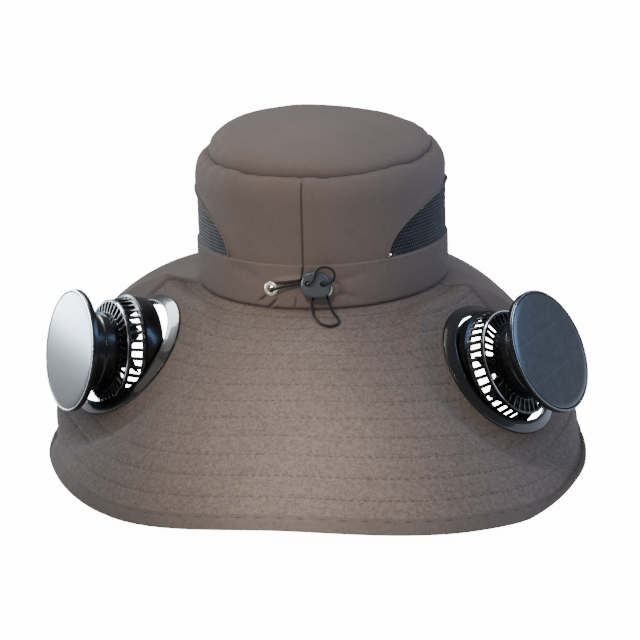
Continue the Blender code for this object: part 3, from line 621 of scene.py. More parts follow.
# %% Shape the crown's wall
HEAD_HALF_WIDTH = 0.089
HEAD_HALF_LENGTH = 0.098
BAND_HEIGHT = 0.031
BAND_PROUD = 0.0006
SEAM_GAP = 0.0003
CROWN_HEIGHT = 0.0930
SEAM_CLIMB = 0.053
SHOULDER_HEIGHT = 0.0170
SHOULDER_INSET = 0.0103
VENT_HALF_ANGLE = 52.5
VENT_HEIGHT = 0.0370
VENT_COLUMNS = 80
GAP_COLUMNS = 70
WALL_START = BAND_HEIGHT + SEAM_GAP


def oval(angle, grow, height):
    """Points on the head opening's outline, grown outward, at angles in degrees."""
    turn = np.radians(angle)
    return np.stack(np.broadcast_arrays((HEAD_HALF_WIDTH + grow) * np.cos(turn),
                                        (HEAD_HALF_LENGTH + grow) * np.sin(turn), height), axis=-1)


def unit_ring(turn):
    return np.stack((np.cos(turn), np.sin(turn), np.zeros_like(turn)), axis=-1)


def facing_direction(angle):
    out = unit_ring(np.radians(angle)) / as_array((HEAD_HALF_WIDTH, HEAD_HALF_LENGTH, 1.0))
    return out / np.linalg.norm(out, axis=-1, keepdims=True)


def seam_height(angle):
    """Height of the top panel's seam, which rises toward the front."""
    return CROWN_HEIGHT + SEAM_CLIMB * (HEAD_HALF_LENGTH - SHOULDER_INSET) * np.sin(np.radians(angle))


def wall_point(angle, height):
    climb = np.clip((height - (seam_height(angle) - SHOULDER_HEIGHT)) / SHOULDER_HEIGHT, 0.0, 1.0)
    return oval(angle, -SHOULDER_INSET * (1.0 - np.sqrt(1.0 - climb * climb)), height)


def vent_top(angle, half_angle=VENT_HALF_ANGLE, rise=VENT_HEIGHT):
    from_side = np.abs(np.remainder(angle + 90.0, 180.0) - 90.0)
    return rise * np.sqrt(np.clip(1.0 - (from_side / half_angle) ** 2, 0.0, None))


def crown_angles():
    """Angles of the crown's columns, closer together at the vents' ends and at the back seam."""
    angles = []
    gap = 180.0 - 2 * VENT_HALF_ANGLE
    over_vent = [VENT_HALF_ANGLE * math.cos(math.pi * c / VENT_COLUMNS) for c in range(VENT_COLUMNS + 1)]
    for side in (0.0, 180.0):
        angles += [side - offset for offset in over_vent]
        angles += [side + VENT_HALF_ANGLE + gap * c / GAP_COLUMNS for c in range(1, GAP_COLUMNS)]
    start = angles[0]
    angles += [270.0 + offset for offset in np.arange(-1.3, 1.4, 0.13)]
    return as_array(sorted({round(start + (angle - start) % 360.0, 4) for angle in angles}) + [start + 360.0])


CROWN_ANGLES = crown_angles()
print("columns round the crown:", len(CROWN_ANGLES))

# %% [markdown]
# Soft cloth is never a perfect wall. The seam at the top pulls it into short puckers that fade
# downward, slow waves run over the rest, and the back seam is a folded edge: the right panel lies
# on top of the left one, with a thin shadow beside it. Near the band the cloth tucks in.

# %% Sew the crown's wall
CLOTH_THICKNESS = 0.0016
PUCKER_DEPTH = 0.0010
SEAM_FOLD = 0.0008
SEAM_PULL = 0.0006
UNDER_BAND = 0.0022


def puckers(ring):
    """Short folds that a gathered seam pulls into the cloth, at points on a unit ring."""
    return (smooth_noise(ring, 9.0, 3.0) + 0.7 * smooth_noise(ring, 19.0, 5.0)) * PUCKER_DEPTH


def panel_waves(points, angle, height):
    """How far the crown's cloth stands out from its plain shape."""
    from_top = seam_height(angle) - height
    ring = unit_ring(np.radians(angle))
    pucker = puckers(ring) * np.exp(-from_top / 0.009)
    fold = smooth_noise(ring, 3.2, 8.0) * 0.0010 * np.exp(-from_top / 0.030)
    return pucker + fold + smooth_noise(points, 22.0, 1.0) * 0.0011


def wall_relief(points, angle, height):
    from_top = seam_height(angle) - height
    across = points[..., 0]
    lap = np.where(across > 0, SEAM_FOLD * np.exp(-across / 0.007), 0.0)
    lap = lap - 1.7 * SEAM_FOLD * bell(across + 0.0005, 0.0006)
    relief = panel_waves(points, angle, height) - SEAM_PULL * bell(from_top, 0.0012)
    relief = relief + np.where(points[..., 1] < 0, lap, 0.0) * (1.0 - bell(from_top, 0.003))
    tuck = np.exp(-np.maximum(height - WALL_START, 0.0) / 0.004) * (vent_top(angle) < 0.0002)
    return relief - SEAM_PULL * tuck


def build_crown_wall():
    shoulder = seam_height(CROWN_ANGLES) - SHOULDER_HEIGHT
    bottom = WALL_START + vent_top(CROWN_ANGLES)
    bottom = np.where(bottom > WALL_START, bottom, WALL_START - UNDER_BAND)
    lower = [bottom + (shoulder - bottom) * share ** 1.15 for share in np.linspace(0.0, 1.0, 30)]
    bends = [shoulder + SHOULDER_HEIGHT * math.sin(math.radians(a)) for a in np.linspace(0.0, 90.0, 19)[1:]]
    height = np.stack(lower + bends)
    angle = np.broadcast_to(CROWN_ANGLES, height.shape)
    plain = wall_point(angle, height)
    outer = plain + grid_normals(plain) * wall_relief(plain, angle, height)[..., None]
    outer[:, -1] = outer[:, 0]
    inner = outer - grid_normals(outer) * CLOTH_THICKNESS
    inner[-1, :, 2] = np.minimum(inner[-1, :, 2], outer[-1, :, 2] - 0.0004)
    inner[:, -1] = inner[:, 0]
    return show("crown_wall", cloth_mesh("crown_wall", outer, inner, True), smooth_canvas, "root",
                ["crown_side"])


crown_wall = build_crown_wall()
print("crown wall faces:", len(crown_wall.data.polygons))

# %% [markdown]
# The top panel is a low dome. It shares its seam with the wall, so its edge takes the same puckers
# and then smooths out toward the middle.

# %% Sew the top panel
TOP_RISE = 0.0195
TOP_LEAN = 0.32
PANEL_BULGE = 0.0003
TOP_ROWS = 44
SHORT_EDGE = 0.00012


def build_crown_top():
    shares = np.linspace(0.0, 1.0, TOP_ROWS + 1) ** 1.5
    shares[-1] = 0.9995
    spread = 1.0 - shares
    ring = unit_ring(np.radians(CROWN_ANGLES))
    x = (HEAD_HALF_WIDTH - SHOULDER_INSET - SEAM_GAP) * spread[:, None] * ring[:, 0]
    y = (HEAD_HALF_LENGTH - SHOULDER_INSET - SEAM_GAP) * spread[:, None] * ring[:, 1]
    lean = 1.0 - TOP_LEAN * spread[:, None] * ring[:, 0]
    rise = TOP_RISE * ((1.0 - spread ** 2.5) ** 0.44)[:, None] * lean
    outer = np.stack((x, y, CROWN_HEIGHT + SEAM_CLIMB * y + rise), axis=2)
    pucker = puckers(ring)[None, :] * np.exp(-shares / 0.07)[:, None]
    bulge = PANEL_BULGE * (bell(shares - 0.02, 0.022) - bell(0.02, 0.022) * np.exp(-shares / 0.008))
    outer[..., :2] += bulge[:, None, None] * ring[None, :, :2]
    fold = smooth_noise(ring, 3.2, 8.0)[None, :] * 0.0012 * np.exp(-shares / 0.22)[:, None]
    slow = smooth_noise(outer, 20.0, 5.0) * 0.0012 * np.minimum(shares / 0.2, 1.0)[:, None]
    outer[..., 2] += pucker + fold + slow
    outer[:, -1] = outer[:, 0]
    inner = outer - np.array((0.0, 0.0, CLOTH_THICKNESS))
    inner[0, :, :2] *= 0.996
    mesh = cloth_mesh("crown_panel", outer, inner, True)
    shape = bmesh.new()
    shape.from_mesh(mesh)
    bmesh.ops.collapse(shape, edges=[edge for edge in shape.edges if edge.calc_length() < SHORT_EDGE])
    shape.to_mesh(mesh)
    shape.free()
    return show("crown_panel", mesh, smooth_canvas, "root", ["crown_top"])


crown_panel = build_crown_top()
print("top panel faces:", len(crown_panel.data.polygons))

# %% [markdown]
# ## Nets
#
# The side vents are covered with a knitted net of round holes. Printing holes as a pattern would
# leave a solid sheet, so each hole is real. The net is made of small cells, staggered from row to
# row as knitted holes are, and each cell is a dark ring and a paler rim round an open middle. The
# paler rim is a painted highlight, standing in for light caught at the edge of each hole.

# %% Knit the side nets
HOLE_PITCH = 0.0023
HOLE_SIZE = 0.22
# Share of each cell that the painted highlight rim reaches out to
HIGHLIGHT_RIM_SIZE = 0.56
HOLE_CORNERS = 8
NET_THICKNESS = 0.0005
NET_SET_BACK = 0.0009
NET_BELOW = 0.0020
NET_OVERLAP = 2.2


def net_cells(side):
    """Flat cells of the net, as sets of angle and height, inside the arch."""
    per_degree = math.radians(1.0) * (HEAD_HALF_WIDTH + HEAD_HALF_LENGTH) / 2
    half = VENT_HALF_ANGLE + NET_OVERLAP
    step = HOLE_PITCH / per_degree
    for r in range(int((VENT_HEIGHT + 0.003) / HOLE_PITCH) + 1):
        for c in range(int(2 * half / step) + 1):
            angle = -half + step * (c + 0.5 * (r % 2))
            height = HOLE_PITCH * r - NET_BELOW
            if height < vent_top(as_array(angle), half, VENT_HEIGHT + 0.001) and abs(angle) < half:
                yield side + angle, WALL_START + height, step


def build_net(name, side, node):
    verts = []
    faces = []
    for angle, height, step in net_cells(side):
        first = len(verts)
        for k in range(HOLE_CORNERS):
            turn = math.tau * (k + 0.5) / HOLE_CORNERS
            across, up = math.cos(turn), math.sin(turn)
            for reach in (0.5 / max(abs(across), abs(up)), 0.5 * HIGHLIGHT_RIM_SIZE, 0.5 * HOLE_SIZE):
                verts.append((angle + step * reach * across, height + HOLE_PITCH * reach * up))
        for k in range(HOLE_CORNERS):
            a, b = first + 3 * k, first + 3 * ((k + 1) % HOLE_CORNERS)
            faces += [(a, b, b + 1, a + 1), (a + 1, b + 1, b + 2, a + 2)]
    flat = as_array(verts)
    plain = oval(flat[:, 0], -NET_SET_BACK, flat[:, 1])
    sway = smooth_noise(plain, 45.0, 4.0) * 0.0006
    plain -= facing_direction(flat[:, 0]) * np.abs(sway)[:, None]
    mesh = mesh_from(name, plain, faces, merge=1e-5)
    made = show(name, mesh, (net_yarn, rim_yarn), "root", [node])
    # Every second face is a hole's rim, which takes the painted highlight
    for face in mesh.polygons:
        face.material_index = face.index % 2
    yarn = made.modifiers.new("yarn", "SOLIDIFY")
    yarn.thickness = NET_THICKNESS
    yarn.offset = 0.0
    return made


nets = [build_net("vent_net_right", 0.0, "net_right"), build_net("vent_net_left", 180.0, "net_left")]
print("net faces:", [len(net.data.polygons) for net in nets])

# %% [markdown]
# A narrow piping, rolled from the same cloth, covers the raw edge of each arch. It is a thin tube
# along the arch.

# %% Roll the piping round the vents
PIPING_RADIUS = 0.0008
PIPING_SIDES = 10


def tube_mesh(name, path, outward, radius, sides):
    """A tube along a path of points on the hat, closed at both ends."""
    tangents = np.gradient(path, axis=0)
    tangents /= np.linalg.norm(tangents, axis=1, keepdims=True)
    other = np.cross(tangents, outward)
    other /= np.linalg.norm(other, axis=1, keepdims=True)
    out = np.cross(other, tangents)
    turns = even_turns(sides)
    rings = path[:, None] + radius * (out[:, None] * np.cos(turns)[None, :, None]
                                      + other[:, None] * np.sin(turns)[None, :, None])
    rings = np.concatenate((rings, rings[:, :1]), axis=1)
    last = (len(path) - 1) * (sides + 1)
    caps = [list(range(sides)), list(range(last, last + sides))]
    faces = grid_faces(len(path), sides + 1).tolist() + caps
    return mesh_from(name, rings.reshape(-1, 3), faces, flat_places(rings).reshape(-1, 2))


def build_piping(name, side):
    spread = np.radians(np.linspace(-90.0, 90.0, 121))
    angle = side + VENT_HALF_ANGLE * np.sin(spread)
    path = oval(angle, 0.0001, WALL_START + VENT_HEIGHT * np.cos(spread))
    mesh = tube_mesh(name, path, facing_direction(angle), PIPING_RADIUS, PIPING_SIDES)
    return show(name, mesh, smooth_canvas, "root")


pipings = [build_piping("vent_piping_right", 0.0), build_piping("vent_piping_left", 180.0)]
print("piping faces:", len(pipings[0].data.polygons))

# %% [markdown]
# ## Band
#
# The band is a folded strip round the base of the crown. The drawcord pulls it together at the
# back, so creases run out from the eyelets, one long fold lies over the cord, and the middle seam
# shows as a thin line. The strip's edges are folds, so they are rounded.

# %% Fold the band
BAND_THICKNESS = 0.0026
EYELET_HEIGHT = 0.0139
EYELET_PLACES = {"left": -0.0230, "right": 0.0135}
EYELET_BARREL = 0.0028
CUTTER_HALF = 0.008
CREASE_STRENGTH = 1.5

# Each crease: its two ends across the back and up the band, its width and its depth, in millimetres
BAND_CREASES = (
    ((-20.5, 16.6), (-1.0, 19.4), 1.2, -2.0),
    ((-20.5, 19.6), (-1.0, 22.4), 1.5, 1.7),
    ((-31.5, 4.5), (-26.5, 9.0), 0.8, -1.5),
    ((-25.5, 0.5), (-19.0, 7.0), 0.8, -1.6),
    ((-22.0, 0.5), (-17.5, 6.0), 1.4, 0.6),
    ((-7.4, 0.5), (-6.0, 8.5), 0.5, -0.9),
    ((-2.2, 18.0), (-0.4, 31.0), 0.7, -1.9),
    ((20.0, 12.0), (34.0, 7.0), 2.2, -0.5),
    ((18.0, 18.0), (40.0, 24.0), 3.0, -0.5),
    ((-29.0, 19.0), (-52.0, 26.0), 3.5, -0.5),
)


def crease_depth(points):
    """How far the creases push the back of the band in or out."""
    depth = np.zeros(points.shape[:-1])
    flat = points[..., (0, 2)] / MM
    for start, end, width, push in BAND_CREASES:
        start, line = as_array(start), as_array(end) - as_array(start)
        share = np.clip(((flat - start) @ line) / (line @ line), 0.0, 1.0)
        gap = np.linalg.norm(flat - (start + share[..., None] * line), axis=-1)
        fade = np.sin(np.pi * np.clip(share * 0.9 + 0.05, 0.0, 1.0)) ** 0.5
        depth += CREASE_STRENGTH * push * MM * bell(gap, width) * fade
    return np.where(points[..., 1] < 0, depth, 0.0)


def eyelet_place(across):
    """Middle of an eyelet on the band's outer face, and the way that it faces."""
    wide = HEAD_HALF_WIDTH + BAND_PROUD
    long = HEAD_HALF_LENGTH + BAND_PROUD
    back = -long * math.sqrt(1.0 - (across / wide) ** 2)
    out = as_array((across / wide ** 2, back / long ** 2, 0.0))
    return as_array((across, back, EYELET_HEIGHT)), out / np.linalg.norm(out)


def build_band():
    angles = np.concatenate((np.linspace(0.0, 235.0, 190)[:-1], np.linspace(235.0, 305.0, 330)[:-1],
                             np.linspace(305.0, 360.0, 50)))
    edge = np.array((0.0, 0.0002, 0.0006, 0.0012))
    heights = np.concatenate((edge, np.linspace(0.002, BAND_HEIGHT - 0.002, 40), BAND_HEIGHT - edge[::-1]))
    angle, height = np.broadcast_arrays(angles[None, :], heights[:, None])
    plain = oval(angle, BAND_PROUD, height)
    from_edge = np.minimum(height, BAND_HEIGHT - height)
    fold = -0.0007 * np.clip(1.0 - from_edge / 0.0012, 0.0, 1.0) ** 2
    fold = fold - 0.0018 * np.clip(1.0 - height / 0.0032, 0.0, 1.0) ** 2
    slow = smooth_noise(plain * as_array((1.0, 1.0, 0.5)), 60.0, 6.0) * 0.0005
    near_eyelet = sum(bell(plain[..., 0] - x, 0.006) * bell(height - EYELET_HEIGHT, 0.006)
                      for x in EYELET_PLACES.values()) * (plain[..., 1] < 0)
    relief = fold + (slow + crease_depth(plain)) * (1.0 - np.clip(near_eyelet, 0.0, 1.0))
    out = facing_direction(angle)
    outer = plain + out * relief[..., None]
    inner_relief = (-fold + np.minimum(relief, 0.0) * 0.6)[..., None]
    inner = oval(angle, BAND_PROUD - BAND_THICKNESS, height) + out * inner_relief
    outer[:, -1] = outer[:, 0]
    inner[:, -1] = inner[:, 0]
    places = [eyelet_place(across) for across in EYELET_PLACES.values()]
    cutters = [round_bar(middle, way * CUTTER_HALF, EYELET_BARREL + SEAM_GAP) for middle, way in places]
    mesh = cut_holes(cloth_mesh("band_strip", outer, inner, True), cutters)
    return show("band_strip", mesh, smooth_canvas, "root", ["band"])


band_strip = build_band()
print("band faces:", len(band_strip.data.polygons))

# %% [markdown]
# Two rows of fine stitches hold the band, one just inside each edge. They follow the oval, a
# little way out of the cloth, and leave out the creased stretch at the back.

# %% Stitch the band
BAND_STITCH_INSET = 0.0018
BAND_STITCH_PITCH = 0.0042
BAND_STITCH_SHARE = 0.62
BAND_STITCH_LIMIT = 0.006
BAND_THREAD = (0.00022, 0.00016)
CREASED_HALF = 0.034


def build_band_stitches():
    parts = []
    angles = np.linspace(0.0, 360.0, 721)
    for height in (BAND_STITCH_INSET, BAND_HEIGHT - BAND_STITCH_INSET):
        path = oval(angles, BAND_PROUD, height)
        keep = ~((path[:, 1] < 0) & (np.abs(path[:, 0]) < CREASED_HALF))
        parts.append(stitches_along(path[keep][:-1], facing_direction(angles)[keep][:-1], BAND_STITCH_PITCH,
                                    BAND_STITCH_SHARE))
    starts, ends, normals = joined(parts)
    short = np.linalg.norm(ends - starts, axis=1) < BAND_STITCH_LIMIT
    mesh = stitch_mesh("band_stitches", starts[short], ends[short], normals[short], *BAND_THREAD)
    return show("band_stitches", mesh, thread_taupe, "root")


band_stitches = build_band_stitches()
print("band stitch faces:", len(band_stitches.data.polygons))

# %% [markdown]
# ## Brim
#
# The brim's cloth leaves the band at one slope and bends evenly to another, and both slopes and its
# length change round the hat: long and low at the back, short at the front. A small table holds
# those sections, and a smooth blend gives every direction between them. Under each fan's ring the
# cloth is pressed flat.

# %% Shape the brim
BRIM_LENGTH = 0.168
REST_DROP = 0.1075
BRIM_CLOTH = 0.0022
BRIM_SECTIONS = (
    # facing, length as a share of BRIM_LENGTH, slope at the band, slope at the edge
    (-90.0, 1.030, 15.0, 54.5),
    (-60.0, 1.090, 21.0, 48.0),
    (-28.0, 1.005, 33.5, 55.5),
    (0.0, 0.890, 21.0, 78.0),
    (30.0, 0.860, 22.0, 62.0),
    (60.0, 0.690, 8.0, 36.0),
    (90.0, 0.590, 11.0, 27.0),
    (120.0, 0.680, 8.0, 32.0),
    (150.0, 0.870, 4.0, 44.0),
    (180.0, 0.990, 17.0, 77.0),
    (208.0, 0.965, 26.0, 59.0),
    (240.0, 1.040, 22.0, 54.0),
)
SECTION_FACING, SECTION_LENGTH, SECTION_SLOPE_IN, SECTION_SLOPE_OUT = as_array(BRIM_SECTIONS).T


def blend_sections(facing, values):
    """Smooth value of one column of the table at the directions that the brim faces."""
    places = np.concatenate((SECTION_FACING[-1:] - 360.0, SECTION_FACING, SECTION_FACING[:2] + 360.0))
    values = np.concatenate((values[-1:], values, values[:2]))
    facing = np.remainder(facing + 90.0, 360.0) - 90.0
    at = np.clip(np.searchsorted(places, facing, side="right") - 1, 1, len(SECTION_FACING))
    slopes = np.gradient(values)
    slopes[1:-1] = (values[2:] - values[:-2]) / (places[2:] - places[:-2])
    span = places[at + 1] - places[at]
    t = (facing - places[at]) / span
    return ((2 * t ** 3 - 3 * t ** 2 + 1) * values[at] + (t ** 3 - 2 * t ** 2 + t) * span * slopes[at]
            + (3 * t ** 2 - 2 * t ** 3) * values[at + 1] + (t ** 3 - t ** 2) * span * slopes[at + 1])


def free_brim_point(angle, share):
    out = facing_direction(angle)
    facing = np.degrees(np.arctan2(out[..., 1], out[..., 0]))
    length = BRIM_LENGTH * blend_sections(facing, SECTION_LENGTH)
    start = np.radians(blend_sections(facing, SECTION_SLOPE_IN))
    bend = np.radians(blend_sections(facing, SECTION_SLOPE_OUT)) - start
    reach = length / bend * (np.sin(start + bend * share) - np.sin(start))
    drop = length / bend * (np.cos(start) - np.cos(start + bend * share))
    height = np.maximum(-SEAM_GAP - drop, -REST_DROP)
    return oval(angle, 0.0, height) + out * reach[..., None]


print("brim sections:", len(BRIM_SECTIONS))

# %% [markdown]
# A fan sits in the brim on a round seat. The seat's middle is a place on the cloth, and its facing
# and slope give it a direction. The hinge of the fan's head lies in the seat's plane, and the rest
# tilt turns the head outward about it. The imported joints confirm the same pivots.

# %% Find the fan seats
FanSeat = namedtuple("FanSeat", "name side brim_facing brim_share facing slope rest_tilt")
FAN_SEATS = (
    FanSeat("right", 1.0, -28.5, 0.438, -30.0, 50.0, 14.0),
    FanSeat("left", -1.0, -28.0, 0.433, -40.0, 45.5, 32.5),
)
HINGE_TURN = math.radians(6.0)
PIVOT_RISE = 0.0022
SEAT_FLAT = 0.0655
SEAT_BLEND = 0.083
SEAT_SEWN_SHARE = 0.10
NORMAL_STEP = 1.0
NORMAL_SHARE = NORMAL_STEP / 90.0


def seat_frame(seat):
    """Middle of a fan's seat on the cloth, the way it faces, and its hinge."""
    turn = math.radians(seat.brim_facing)
    angle = math.degrees(math.atan2(HEAD_HALF_LENGTH * math.sin(turn), HEAD_HALF_WIDTH * math.cos(turn)))
    angle = angle if seat.side > 0 else 180.0 - angle
    centre = Vector(free_brim_point(as_array([angle]), as_array([seat.brim_share]))[0])
    facing, slope = math.radians(seat.facing), math.radians(seat.slope)
    normal = Vector((seat.side * math.cos(facing) * math.sin(slope), math.sin(facing) * math.sin(slope),
                     math.cos(slope)))
    along = Vector((0.0, 0.0, 1.0)).cross(normal).normalized()
    hinge = along * math.cos(HINGE_TURN) + normal.cross(along) * (seat.side * math.sin(HINGE_TURN))
    return centre, normal, hinge


SEAT_FRAMES = {seat.name: seat_frame(seat) for seat in FAN_SEATS}
PACKED_PIVOTS = {joint["name"]: joint["pos_m"] for joint in frame["joints"]}
for seat_name, (seat_centre, seat_normal, _hinge) in SEAT_FRAMES.items():
    pivot = seat_centre + seat_normal * PIVOT_RISE + Vector(CROWN_BASE)
    error = (pivot - Vector(PACKED_PIVOTS["tilt_" + seat_name])).length
    print(seat_name, "pivot is", round(error / MM, 3), "mm from the packed one")


def brim_point(angle, share):
    """Points on the brim's upper face, flat where a fan's ring is seated."""
    points = free_brim_point(angle, share)
    for centre, normal, _hinge in SEAT_FRAMES.values():
        offset = points - as_array(centre)
        lift = offset @ as_array(normal)
        spread = np.linalg.norm(offset - lift[..., None] * as_array(normal), axis=-1)
        press = 1.0 - smooth_step((spread - SEAT_FLAT) / (SEAT_BLEND - SEAT_FLAT))
        press = press * smooth_step(share / SEAT_SEWN_SHARE)
        points = points - as_array(normal) * (lift * press)[..., None]
    return points


def brim_normal(angle, share):
    around = brim_point(angle + NORMAL_STEP, share) - brim_point(angle - NORMAL_STEP, share)
    along = (brim_point(angle, np.minimum(share + NORMAL_SHARE, 1.0))
             - brim_point(angle, np.maximum(share - NORMAL_SHARE, 0.0)))
    normals = np.cross(along, around)
    return normals / np.linalg.norm(normals, axis=-1, keepdims=True)

# %% [markdown]
# The back half is quilted: rows of stitches run round it about 13 mm apart. Each row pulls the
# cloth into a shallow groove and every needle hole into a tiny pit, while the cloth between two
# rows stays slightly puffed. The hem is folded double, so it stands a little proud, and its cloth
# is plainer and darker. The two halves of the brim lap by a hair at the side seams and dip there,
# so that no light comes through and each seam shows as a line.

# %% Sew the back of the brim
BACK_SWEEP = -180.0
BRIM_SEAM_TURN = 16.5
BRIM_SEAM_OVERLAP = 0.12
BRIM_SEAM_DIP = 0.0019
STITCH_ROWS = as_array((7.0, 20.0, 32.5, 45.0, 57.5, 70.0, 82.5, 95.0, 108.0, 121.0, 134.5, 148.0)) / 168.0
GROOVE_DEPTH = 0.00075
GROOVE_WIDTH = 0.0050
HEM_STITCH = 160.5 / 168.0
HEM_START = 158.5 / 168.0
HEM_RISE = 0.0005
BRIM_TUCK = 0.0050
SEAT_CLEAR = 0.048
SEAT_FADE = 0.008
DUCT_RADIUS = 0.0433
DUCT_HALF = 0.012
BACK_ROWS = 110
BACK_COLUMNS = 340


def brim_columns(sweep, share, count):
    """Angles across one half of the brim, from seam to seam, at a share of its length."""
    first = -BRIM_SEAM_TURN * (1.0 - 0.45 * smooth_step((share - 0.2) / 0.3))
    last = sweep - first
    inset = -math.copysign(BRIM_SEAM_OVERLAP, sweep)
    first, last = first + inset, last - inset
    return first + (last - first) * np.linspace(0.0, 1.0, count)


def seat_distance(points):
    """Distance from the middle of the nearer fan seat."""
    middles = [as_array(centre) for centre, _normal, _hinge in SEAT_FRAMES.values()]
    return np.min([np.linalg.norm(points - middle, axis=-1) for middle in middles], axis=0)


def settled(relief, points, share):
    """Relief that fades out under a fan's ring and at the inner and outer edges."""
    flat = smooth_step((seat_distance(points) - SEAT_CLEAR) / SEAT_FADE)
    ends = smooth_step(np.minimum(share / 0.02, (1.0 - share) / 0.004 + 0.3))
    return relief * flat * ends


def back_relief(points, share):
    groove = bell(np.min(np.abs(share[..., None] - STITCH_ROWS), axis=-1), GROOVE_WIDTH)
    relief = -GROOVE_DEPTH * groove * (0.72 + 0.28 * smooth_noise(points, 170.0, 2.0))
    relief += 0.0011 * smooth_noise(points, 14.0, 7.0) * np.minimum(share * 4.0, 1.0)
    relief += 0.00022 * smooth_noise(points, 95.0, 9.0)
    relief += HEM_RISE * smooth_step((share - HEM_START) / 0.008)
    relief -= 0.0006 * bell(share - HEM_STITCH, 0.006)
    return settled(relief, points, share)


def brim_share_rows(fine):
    extra = (STITCH_ROWS, STITCH_ROWS - 0.004, STITCH_ROWS + 0.004, [HEM_STITCH, HEM_START, 0.996])
    return np.unique(np.round(np.concatenate((np.linspace(0.0, 1.0, fine), *extra)), 5))


def brim_surface(angle, share, relief, dip=0.0):
    """The brim's plain surface, its normals, and the same surface with the cloth's relief."""
    plain = brim_point(angle, share)
    normal = brim_normal(angle, share)
    return plain, normal, plain + normal * (relief(plain, share) - dip)[..., None]


def brim_grid(sweep, rows, columns, relief):
    shares = brim_share_rows(rows)
    angle = np.stack([brim_columns(sweep, share, columns) for share in shares])
    dip = np.zeros(columns)
    dip[[0, -1]] = BRIM_SEAM_DIP
    dip[[1, -2]] = BRIM_SEAM_DIP * 0.5
    plain, normal, upper = brim_surface(angle, np.broadcast_to(shares[:, None], angle.shape), relief, dip)
    lower = plain - normal * BRIM_CLOTH
    floor = -CROWN_BASE[2] + 0.00001
    upper[..., 2] = np.maximum(upper[..., 2], floor + 0.0004)
    lower[..., 2] = np.maximum(lower[..., 2], floor)
    tuck = oval(angle[:1], -BRIM_TUCK, -SEAM_GAP)
    return np.concatenate((tuck, upper)), np.concatenate((tuck - as_array((0.0, 0.0, BRIM_CLOTH)), lower))


def build_brim_back():
    whole = cloth_mesh("quilted_brim", *brim_grid(BACK_SWEEP, BACK_ROWS, BACK_COLUMNS, back_relief))
    hem_place = max(place.uv.y for place in whole.uv_layers["cloth"].data) * HEM_START
    mesh = cut_holes(whole, [round_bar(centre, normal * DUCT_HALF, DUCT_RADIUS, 72)
                             for centre, normal, _hinge in SEAT_FRAMES.values()])
    made = show("quilted_brim", mesh, (brim_canvas, hem_canvas), "root", ["brim_back"])
    places = mesh.uv_layers["cloth"].data
    for face in mesh.polygons:
        face.material_index = int(min(places[corner].uv.y for corner in face.loop_indices) > hem_place)
    return made


quilted_brim = build_brim_back()
print("quilted brim faces:", len(quilted_brim.data.polygons))

# %% [markdown]
# The thread itself is a dark brown dash in each groove. Rows stop where a fan's ring covers them.

# %% Stitch the quilting rows
QUILT_STITCH_PITCH = 0.0047
QUILT_STITCH_SHARE = 0.55
QUILT_CLEAR = 0.0515
QUILT_SAMPLES = 1400
QUILT_TRIM = 18
QUILT_THREAD = (0.00034, 0.00022)


def brim_stitches(sweep, share, relief, count, trim, pitch, cover):
    """Stitches along one row of the brim, from seam to seam but for a few trimmed samples."""
    angle = brim_columns(sweep, share, count)[trim:-trim]
    _plain, normal, path = brim_surface(angle, np.full_like(angle, share), relief)
    return stitches_along(path, normal, pitch, cover)


def build_quilting():
    rows = [brim_stitches(BACK_SWEEP, share, back_relief, QUILT_SAMPLES, QUILT_TRIM, QUILT_STITCH_PITCH,
                          QUILT_STITCH_SHARE) for share in STITCH_ROWS]
    starts, ends, normals = joined(rows)
    clear = seat_distance((starts + ends) / 2) > QUILT_CLEAR
    mesh = stitch_mesh("quilting_thread", starts[clear], ends[clear], normals[clear], *QUILT_THREAD)
    return show("quilting_thread", mesh, thread_brown, "root")


quilting_thread = build_quilting()
print("quilting faces:", len(quilting_thread.data.polygons))

# %% [markdown]
# The front half is one smooth panel with a narrow turned hem. A row of longer running stitches
# holds the hem of each half.

# %% Sew the front of the brim
FRONT_SWEEP = 180.0
FRONT_HEM_START = 0.93
FRONT_HEM_STITCH = 0.94
HEM_STITCH_PITCH = 0.0128
HEM_STITCH_SHARE = 0.44
HEM_SAMPLES = 1200
HEM_TRIM = 8
HEM_THREAD = (0.00036, 0.00026)
FRONT_ROWS = 70
FRONT_COLUMNS = 240


def front_relief(points, share):
    relief = 0.0009 * smooth_noise(points, 15.0, 11.0) * np.minimum(share * 4.0, 1.0)
    relief += HEM_RISE * smooth_step((share - FRONT_HEM_START) / 0.012)
    relief -= 0.0005 * bell(share - FRONT_HEM_STITCH, 0.008)
    return settled(relief, points, share)


def build_brim_front():
    mesh = cloth_mesh("front_brim", *brim_grid(FRONT_SWEEP, FRONT_ROWS, FRONT_COLUMNS, front_relief))
    return show("front_brim", mesh, smooth_canvas, "root", ["brim_front"])


def hem_stitches(name, sweep, share, relief):
    row = brim_stitches(sweep, share, relief, HEM_SAMPLES, HEM_TRIM, HEM_STITCH_PITCH, HEM_STITCH_SHARE)
    return show(name, stitch_mesh(name, *row, *HEM_THREAD), thread_brown, "root")


front_brim = build_brim_front()
back_hem_thread = hem_stitches("back_hem_thread", BACK_SWEEP, HEM_STITCH, back_relief)
front_hem_thread = hem_stitches("front_hem_thread", FRONT_SWEEP, FRONT_HEM_STITCH, front_relief)
print("front brim faces:", len(front_brim.data.polygons))
print("hem stitch faces:", len(back_hem_thread.data.polygons), len(front_hem_thread.data.polygons))

# %% [markdown]
# ## Eyelets
#
# Two brass eyelets let the cord out of the band. An eyelet is a turned shape: a rolled flange with
# a barrel behind it. A turned piece needs only its outline, so one helper spins an outline round an
# axis and rounds its corners first, because no real moulded or pressed edge is sharp.

